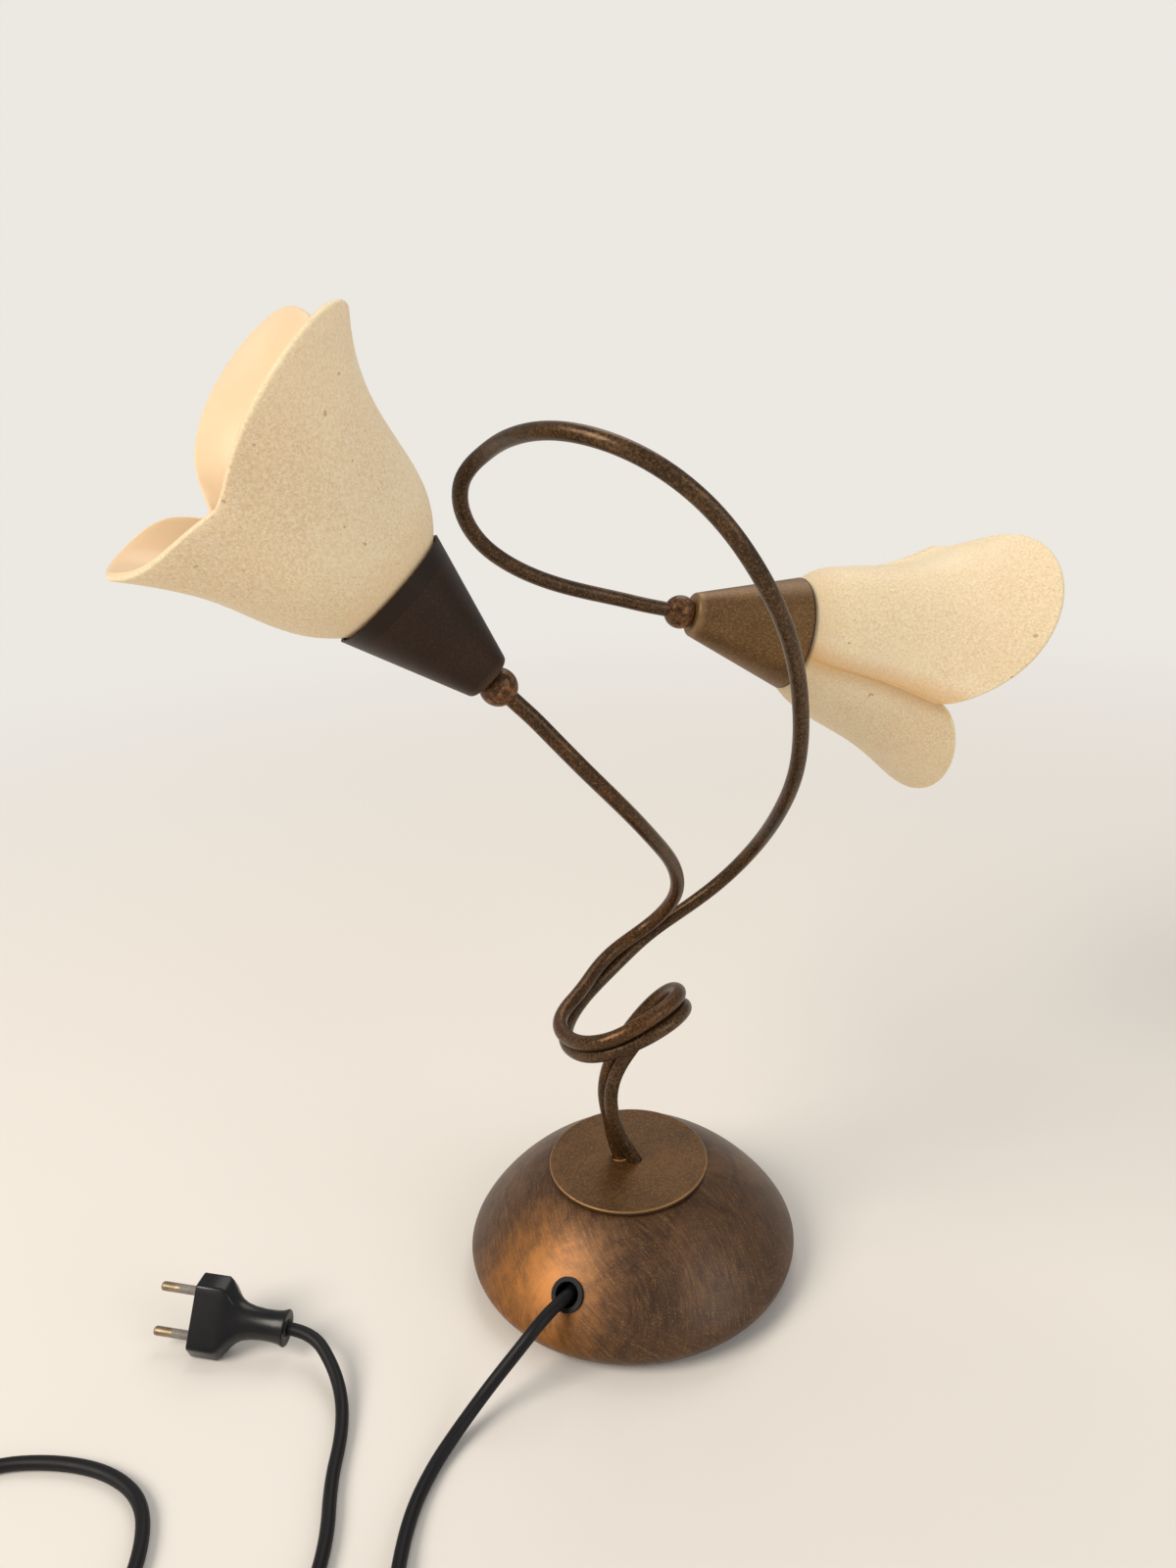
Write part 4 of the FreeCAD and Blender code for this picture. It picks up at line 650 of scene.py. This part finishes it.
def moulded_plug(finish):
    """The two-pin plug's body, which narrows through its shoulders into a flared neck."""
    shape = bmesh.new()
    pulled_tube(shape, PLUG_STEPS, len(PLUG_SECTIONS))
    third = PLUG_PINS.cross(PLUG_WIDE)
    for vertex in shape.verts:
        turn = math.degrees(math.atan2(vertex.co.y, vertex.co.x)) * PLUG_STEPS / 360
        step = round(turn) % PLUG_STEPS
        behind, half_w, half_t, sided = PLUG_SECTIONS[round(-vertex.co.z)]
        x, y = six_sided(step)
        angle = 2 * math.pi * step / PLUG_STEPS
        x = half_w * (sided * x / PLUG_HALF_W + (1 - sided) * math.cos(angle))
        y = half_t * (sided * y / PLUG_HALF_T + (1 - sided) * math.sin(angle))
        vertex.co = (PLUG_FACE + PLUG_WIDE * x + third * y - PLUG_PINS * behind) * MM
    bmesh.ops.recalc_face_normals(shape, faces=shape.faces)
    corners = [edge for edge in shape.edges
               if edge.calc_face_angle(0) > math.radians(PLUG_EDGE_ANGLE)]
    bmesh.ops.bevel(shape, geom=corners, offset=PLUG_EDGE_ROUND * MM, offset_type="OFFSET",
                    segments=PLUG_EDGE_STEPS, profile=0.5, affect="EDGES", material=-1,
                    clamp_overlap=True)
    bmesh.ops.recalc_face_normals(shape, faces=shape.faces)
    plug = as_piece("plug_moulding", shape, finish, PLUG_SHARP)
    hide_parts("plug_body")
    return plug


def coil_tie(finish):
    """A flat strap round the turns of the put-away coil, resting on the floor."""
    shape = bmesh.new()
    bmesh.ops.create_circle(shape, cap_ends=False, segments=TIE_SIDES, radius=1)
    made = bmesh.ops.extrude_edge_only(shape, edges=list(shape.edges))["geom"]
    far = [item for item in made if isinstance(item, bmesh.types.BMVert)]
    bmesh.ops.translate(shape, verts=far, vec=(0, 0, 1))
    middle_r = (TIE_FROM_R + TIE_TO_R) / 2
    half_r = (TIE_TO_R - TIE_FROM_R) / 2
    half_height = (TIE_TOP - TIE_T) / 2
    for vertex in shape.verts:
        x, y, z = vertex.co
        squared = (abs(x) ** TIE_SQUARE + abs(y) ** TIE_SQUARE) ** (-1 / TIE_SQUARE)
        vertex.co = Vector((COIL_AT[0] + (z - 0.5) * TIE_WIDTH,
                            COIL_AT[1] + middle_r + half_r * x * squared,
                            TIE_T + half_height * (1 + y * squared))) * MM
    bmesh.ops.recalc_face_normals(shape, faces=shape.faces)
    bmesh.ops.solidify(shape, geom=list(shape.faces), thickness=TIE_T * MM)
    bmesh.ops.recalc_face_normals(shape, faces=shape.faces)
    return as_piece("coil_tie", shape, finish, TIE_SHARP)


def round_cord(name, route, thickness, finish):
    """A cord as one smooth curve through its route, given in millimetres."""
    curve = bpy.data.curves.new(name, "CURVE")
    curve.dimensions = "3D"
    curve.bevel_depth = thickness / 2
    curve.bevel_resolution = CORD_ROUND_STEPS
    curve.resolution_u = CORD_RUN_STEPS
    curve.use_fill_caps = True
    spline = curve.splines.new("NURBS")
    spline.points.add(len(route) - 1)
    for point, place in zip(spline.points, route):
        point.co = (*(Vector(place) * MM), 1)
    spline.order_u = CORD_ORDER
    spline.use_endpoint_u = True
    cord = bpy.data.objects.new(name, curve)
    bpy.context.scene.collection.objects.link(cord)
    curve.materials.append(finish)
    return cord


# ---- operators

class LAMP_OT_camera(bpy.types.Operator):
    """Puts the camera at the photograph's viewing angle"""
    bl_idname = "table_lamp.camera"
    bl_label = "Camera"
    bl_options = {"REGISTER", "UNDO"}

    SENSOR = 36
    LENS = 25.425
    PITCH = 0.344
    ROLL = -0.058
    PLACE = (-0.0087, -0.4316, 0.3946)
    NEAR = 0.01
    FAR = 50

    def execute(self, context):
        forward = Vector((0, math.cos(self.PITCH), -math.sin(self.PITCH)))
        level_up = Vector((0, math.sin(self.PITCH), math.cos(self.PITCH)))
        level_right = Vector((1, 0, 0))
        cosine, sine = math.cos(self.ROLL), math.sin(self.ROLL)
        right = cosine * level_right + sine * level_up
        up = cosine * level_up - sine * level_right
        data = bpy.data.cameras.new("camera")
        data.sensor_width = self.SENSOR
        data.lens = self.LENS
        data.clip_start = self.NEAR
        data.clip_end = self.FAR
        camera = bpy.data.objects.new("camera", data)
        turn = Matrix((right, up, -forward)).transposed()
        camera.matrix_world = Matrix.Translation(self.PLACE) @ turn.to_4x4()
        context.scene.collection.objects.link(camera)
        context.scene.camera = camera
        return {"FINISHED"}


class LAMP_OT_cord(bpy.types.Operator):
    """Lays the supply cord with its switch, its put-away coil and its plug"""
    bl_idname = "table_lamp.cord"
    bl_label = "Cord, switch and plug"
    bl_options = {"REGISTER", "UNDO"}

    def execute(self, context):
        cord_set = context.scene.lamp_cord
        black = tuple(cord_set.black)
        sheath = moulded("cord_sheath", black, pale=tint("151416"), rough=0.5, grain=1400,
                         Specular_IOR_Level=0.25)
        plug_black = moulded("plug_black", black, pale=tint("121113"), rough=0.3, grain=500,
                             Specular_IOR_Level=0.3, Coat_Weight=0.15, Coat_Roughness=0.2)
        paint(sheath, "inner_cord")
        plug = moulded_plug(plug_black)
        self.small_parts(black)
        tie = coil_tie(moulded("tie_black", deep=tint("151417"), pale=tint("29282c"),
                               rough=0.75, grain=1600, depth=0.0003))
        to_switch = round_cord("lamp_cord", CORD_TO_SWITCH, cord_set.thickness, sheath)
        route = CORD_TO_COIL + coil_points() + CORD_FROM_COIL
        to_plug = round_cord("plug_cord", route, cord_set.thickness, sheath)
        for cord in (to_switch, to_plug):
            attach(cord, "lamp")
        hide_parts("cord_to_switch")
        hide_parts("cord_to_coil", "cord_coil", "cord_to_plug")
        return {"FINISHED"}

    def small_parts(self, black):
        """Finishes the switch, the grommet and the plug's pins."""
        paint(moulded("switch_black", black, pale=tint("262528"), rough=0.36, grain=1100),
              "switch_base", "switch_cover")
        paint(moulded("grommet_rubber", deep=tint("0b0b0c"), pale=tint("161617"), rough=0.6,
                      Specular_IOR_Level=0.3), "cord_grommet")
        paint(moulded("rocker_black", deep=tint("1f1e21"), pale=tint("34333a"), rough=0.3,
                      grain=1300), "rocker")
        paint(moulded("sleeve_grey", deep=tint("78716a"), pale=tint("8b847b"), rough=0.5),
              "plug_sleeves")
        paint(plain_metal("pin_metal", bare="8a7a62", worn="a39279", rough=0.45), "plug_pins")
        paint(plain_metal("switch_steel", bare="8f9093", worn="b6b7ba", rough=0.32),
              "rocker_pin", "switch_screws")


class LAMP_OT_arms(bpy.types.Operator):
    """Finishes the two bent arms, their beads and the cups"""
    bl_idname = "table_lamp.arms"
    bl_label = "Arms, beads and cups"
    bl_options = {"REGISTER", "UNDO"}

    def execute(self, context):
        paint_set = context.scene.lamp_paint
        dark, copper, gold = map(tuple, (paint_set.dark, paint_set.copper, paint_set.gold))
        # both arms have one paint: the left arm's copper is painted light and the right arm's
        # darker brown is painted shade
        paint(bronze("arm_bronze_copper", dark, copper, gold, worn=0.66, rough=0.36), "left_arm")
        paint(bronze("arm_bronze_brown", dark, HUES["arm_shaded_brown"], gold, worn=0.6, rough=0.36),
              "right_arm")
        paint(bronze("bead_bronze", *hues("bead"), worn=0.6, grain=0.6),
              "left_bead", "right_bead")
        # the left cup gets darker hues and less wear as painted shade, the right cup lighter
        # hues and more wear as painted light
        paint(cup_bronze("left", worn=0.4, band=6.5), "left_cup")
        paint(cup_bronze("right", worn=0.62, band=1.0), "right_cup")
        return {"FINISHED"}


class LAMP_OT_shades(bpy.types.Operator):
    """Finishes the glass tulip shades, their rings and the bulbs in them"""
    bl_idname = "table_lamp.shades"
    bl_label = "Shades and bulbs"
    bl_options = {"REGISTER", "UNDO"}

    def execute(self, context):
        glass = context.scene.lamp_glass
        pearl = moulded("bulb_pearl", deep=tint("e9e6de"), pale=tint("f6f4ee"), rough=0.28,
                        grain=500, depth=0.00003, Subsurface_Weight=0.2,
                        Subsurface_Scale=0.004)
        brass = plain_metal("brass", bare="a97f3c", worn="cfa65c", rough=0.3)
        bakelite = moulded("bakelite", deep=tint("20160f"), pale=tint("33241a"), rough=0.32,
                           grain=500)
        opened_petal(tulip_glass(glass, "left"))
        paint(tulip_glass(glass, "right"), "right_glass")
        for side in HEADS:
            paint(pearl, side + "_bulb_glass")
            paint(brass, side + "_bulb_cap", side + "_nipple", side + "_contacts", side + "_nut")
            paint(bakelite, side + "_lampholder", side + "_shade_ring")
            paint(moulded("lead_clear_" + side, deep=tint("a8a294"), pale=tint("c4beb0"),
                          rough=0.35), side + "_lead")
        return {"FINISHED"}


class LAMP_OT_base(bpy.types.Operator):
    """Finishes the domed base, its disc and what is under and inside it"""
    bl_idname = "table_lamp.base"
    bl_label = "Base"
    bl_options = {"REGISTER", "UNDO"}

    def execute(self, context):
        paint(dome_bronze(), "base_shell")
        paint(disc_bronze(), "base_disc")
        paint(plain_metal("steel", bare="85868a", worn="adaeb2", rough=0.34), "clamp_plate",
              "base_bolts", "bolt_washers", "base_sleeves", "clamp_screws", "terminal_screws")
        paint(plain_metal("cast_iron", bare="3a3836", worn="4f4c49", rough=0.6, grain=180),
              "base_weight")
        paint(moulded("felt", deep=tint("1b2a20"), pale=tint("2e4234"), rough=0.92, grain=700,
                      depth=0.0004, Sheen_Weight=0.4, Sheen_Roughness=0.5), "base_felt")
        paint(moulded("terminal_white", deep=tint("d7d2c4"), pale=tint("e6e2d6"), rough=0.4),
              "terminal_block", "cord_clamp")
        return {"FINISHED"}


class LAMP_OT_stage(bpy.types.Operator):
    """Makes the pale floor, the backdrop colour and the soft lights"""
    bl_idname = "table_lamp.stage"
    bl_label = "Stage and light"
    bl_options = {"REGISTER", "UNDO"}

    # name, place, width, power setting and colour of each light
    LIGHTS = (
        ("key_light", (-1.9, -1.0, 1.9), 1.5, "key_power", (1.0, 0.92, 0.82)),
        ("fill_light", (2.2, -1.5, 1.4), 1.9, "fill_power", (0.94, 0.97, 1.0)),
        ("top_light", (0.5, 1.7, 2.5), 1.9, "fill_power", (1.0, 0.97, 0.93)),
    )
    AIM = (0, 0, 0.2)
    FLOOR_HALF = 8.0
    FLOOR_SQUARES = 4
    # how far from the lamp the floor begins to fade into the backdrop, and has done so
    FADE_FROM = 0.35
    FADE_TO = 1.5
    SKY_COLOUR = (1, 0.985, 0.96, 1)
    SKY_STRENGTH = 0.42

    def execute(self, context):
        stage_set = context.scene.lamp_stage
        self.floor(stage_set)
        self.world(context, stage_set)
        for name, place, width, power, shade in self.LIGHTS:
            data = bpy.data.lights.new(name, "AREA")
            data.shape = "DISK"
            data.size = width
            data.energy = getattr(stage_set, power)
            data.color = shade
            light = bpy.data.objects.new(name, data)
            aim = (Vector(self.AIM) - Vector(place)).to_track_quat("-Z", "Y")
            light.matrix_world = Matrix.Translation(place) @ aim.to_matrix().to_4x4()
            context.scene.collection.objects.link(light)
        context.scene.view_settings.view_transform = "Standard"
        return {"FINISHED"}

    def floor(self, stage_set):
        mesh = bpy.data.meshes.new("floor")
        shape = bmesh.new()
        bmesh.ops.create_grid(shape, x_segments=self.FLOOR_SQUARES,
                              y_segments=self.FLOOR_SQUARES, size=self.FLOOR_HALF)
        shape.to_mesh(mesh)
        shape.free()
        floor = bpy.data.objects.new("floor", mesh)
        bpy.context.scene.collection.objects.link(floor)
        finish = Finish("floor_pale", Roughness=0.6, Specular_IOR_Level=0.25)
        pale, backdrop = tuple(stage_set.floor), tuple(stage_set.backdrop)
        finish.done(Base_Color=finish.layer(pale, backdrop, finish.noise(scale=6), cover=0.1))
        far = finish.between(finish.distance((0, 0, 0)), self.FADE_FROM, self.FADE_TO)
        glow = finish.tree.nodes.new("ShaderNodeEmission")
        glow.inputs["Color"].default_value = (*backdrop, 1)
        blend = finish.tree.nodes.new("ShaderNodeMixShader")
        ends = finish.tree.nodes["Material Output"]
        links = finish.tree.links
        links.new(far.socket, blend.inputs[0])
        links.new(finish.shader.outputs[0], blend.inputs[1])
        links.new(glow.outputs[0], blend.inputs[2])
        links.new(blend.outputs[0], ends.inputs["Surface"])
        mesh.materials.append(finish.material)

    def world(self, context, stage_set):
        world = bpy.data.worlds.new("studio")
        context.scene.world = world
        world.use_nodes = True
        tree = world.node_tree
        sky = tree.nodes["Background"]
        sky.inputs["Color"].default_value = self.SKY_COLOUR
        sky.inputs["Strength"].default_value = self.SKY_STRENGTH
        seen = tree.nodes.new("ShaderNodeBackground")
        seen.inputs["Color"].default_value = (*stage_set.backdrop, 1)
        rays = tree.nodes.new("ShaderNodeLightPath")
        blend = tree.nodes.new("ShaderNodeMixShader")
        tree.links.new(rays.outputs["Is Camera Ray"], blend.inputs[0])
        tree.links.new(sky.outputs[0], blend.inputs[1])
        tree.links.new(seen.outputs[0], blend.inputs[2])
        tree.links.new(blend.outputs[0], tree.nodes["World Output"].inputs["Surface"])


GROUPS = {"lamp_cord": LampCord, "lamp_paint": LampPaint, "lamp_glass": LampGlass,
          "lamp_stage": LampStage}
OPERATORS = (LAMP_OT_camera, LAMP_OT_cord, LAMP_OT_arms, LAMP_OT_shades, LAMP_OT_base,
             LAMP_OT_stage)


class LAMP_PT_panel(bpy.types.Panel):
    """Lists the lamp's operators and settings"""
    bl_idname = "LAMP_PT_panel"
    bl_label = "Table Lamp"
    bl_space_type = "VIEW_3D"
    bl_region_type = "UI"
    bl_category = "Table Lamp"

    def draw(self, context):
        for operator in OPERATORS:
            self.layout.operator(operator.bl_idname)
        for group in GROUPS:
            settings = getattr(context.scene, group)
            for name in settings.__annotations__:
                self.layout.prop(settings, name)


def register():
    for group, kind in GROUPS.items():
        bpy.utils.register_class(kind)
        setattr(bpy.types.Scene, group, bpy.props.PointerProperty(type=kind))
    for kind in (*OPERATORS, LAMP_PT_panel):
        bpy.utils.register_class(kind)


def unregister():
    for kind in (LAMP_PT_panel, *reversed(OPERATORS)):
        bpy.utils.unregister_class(kind)
    for group, kind in reversed(GROUPS.items()):
        delattr(bpy.types.Scene, group)
        bpy.utils.unregister_class(kind)


def main():
    register()
    for operator in OPERATORS:
        group, name = operator.bl_idname.split(".")
        getattr(getattr(bpy.ops, group), name)()


if __name__ == "__main__":
    main()
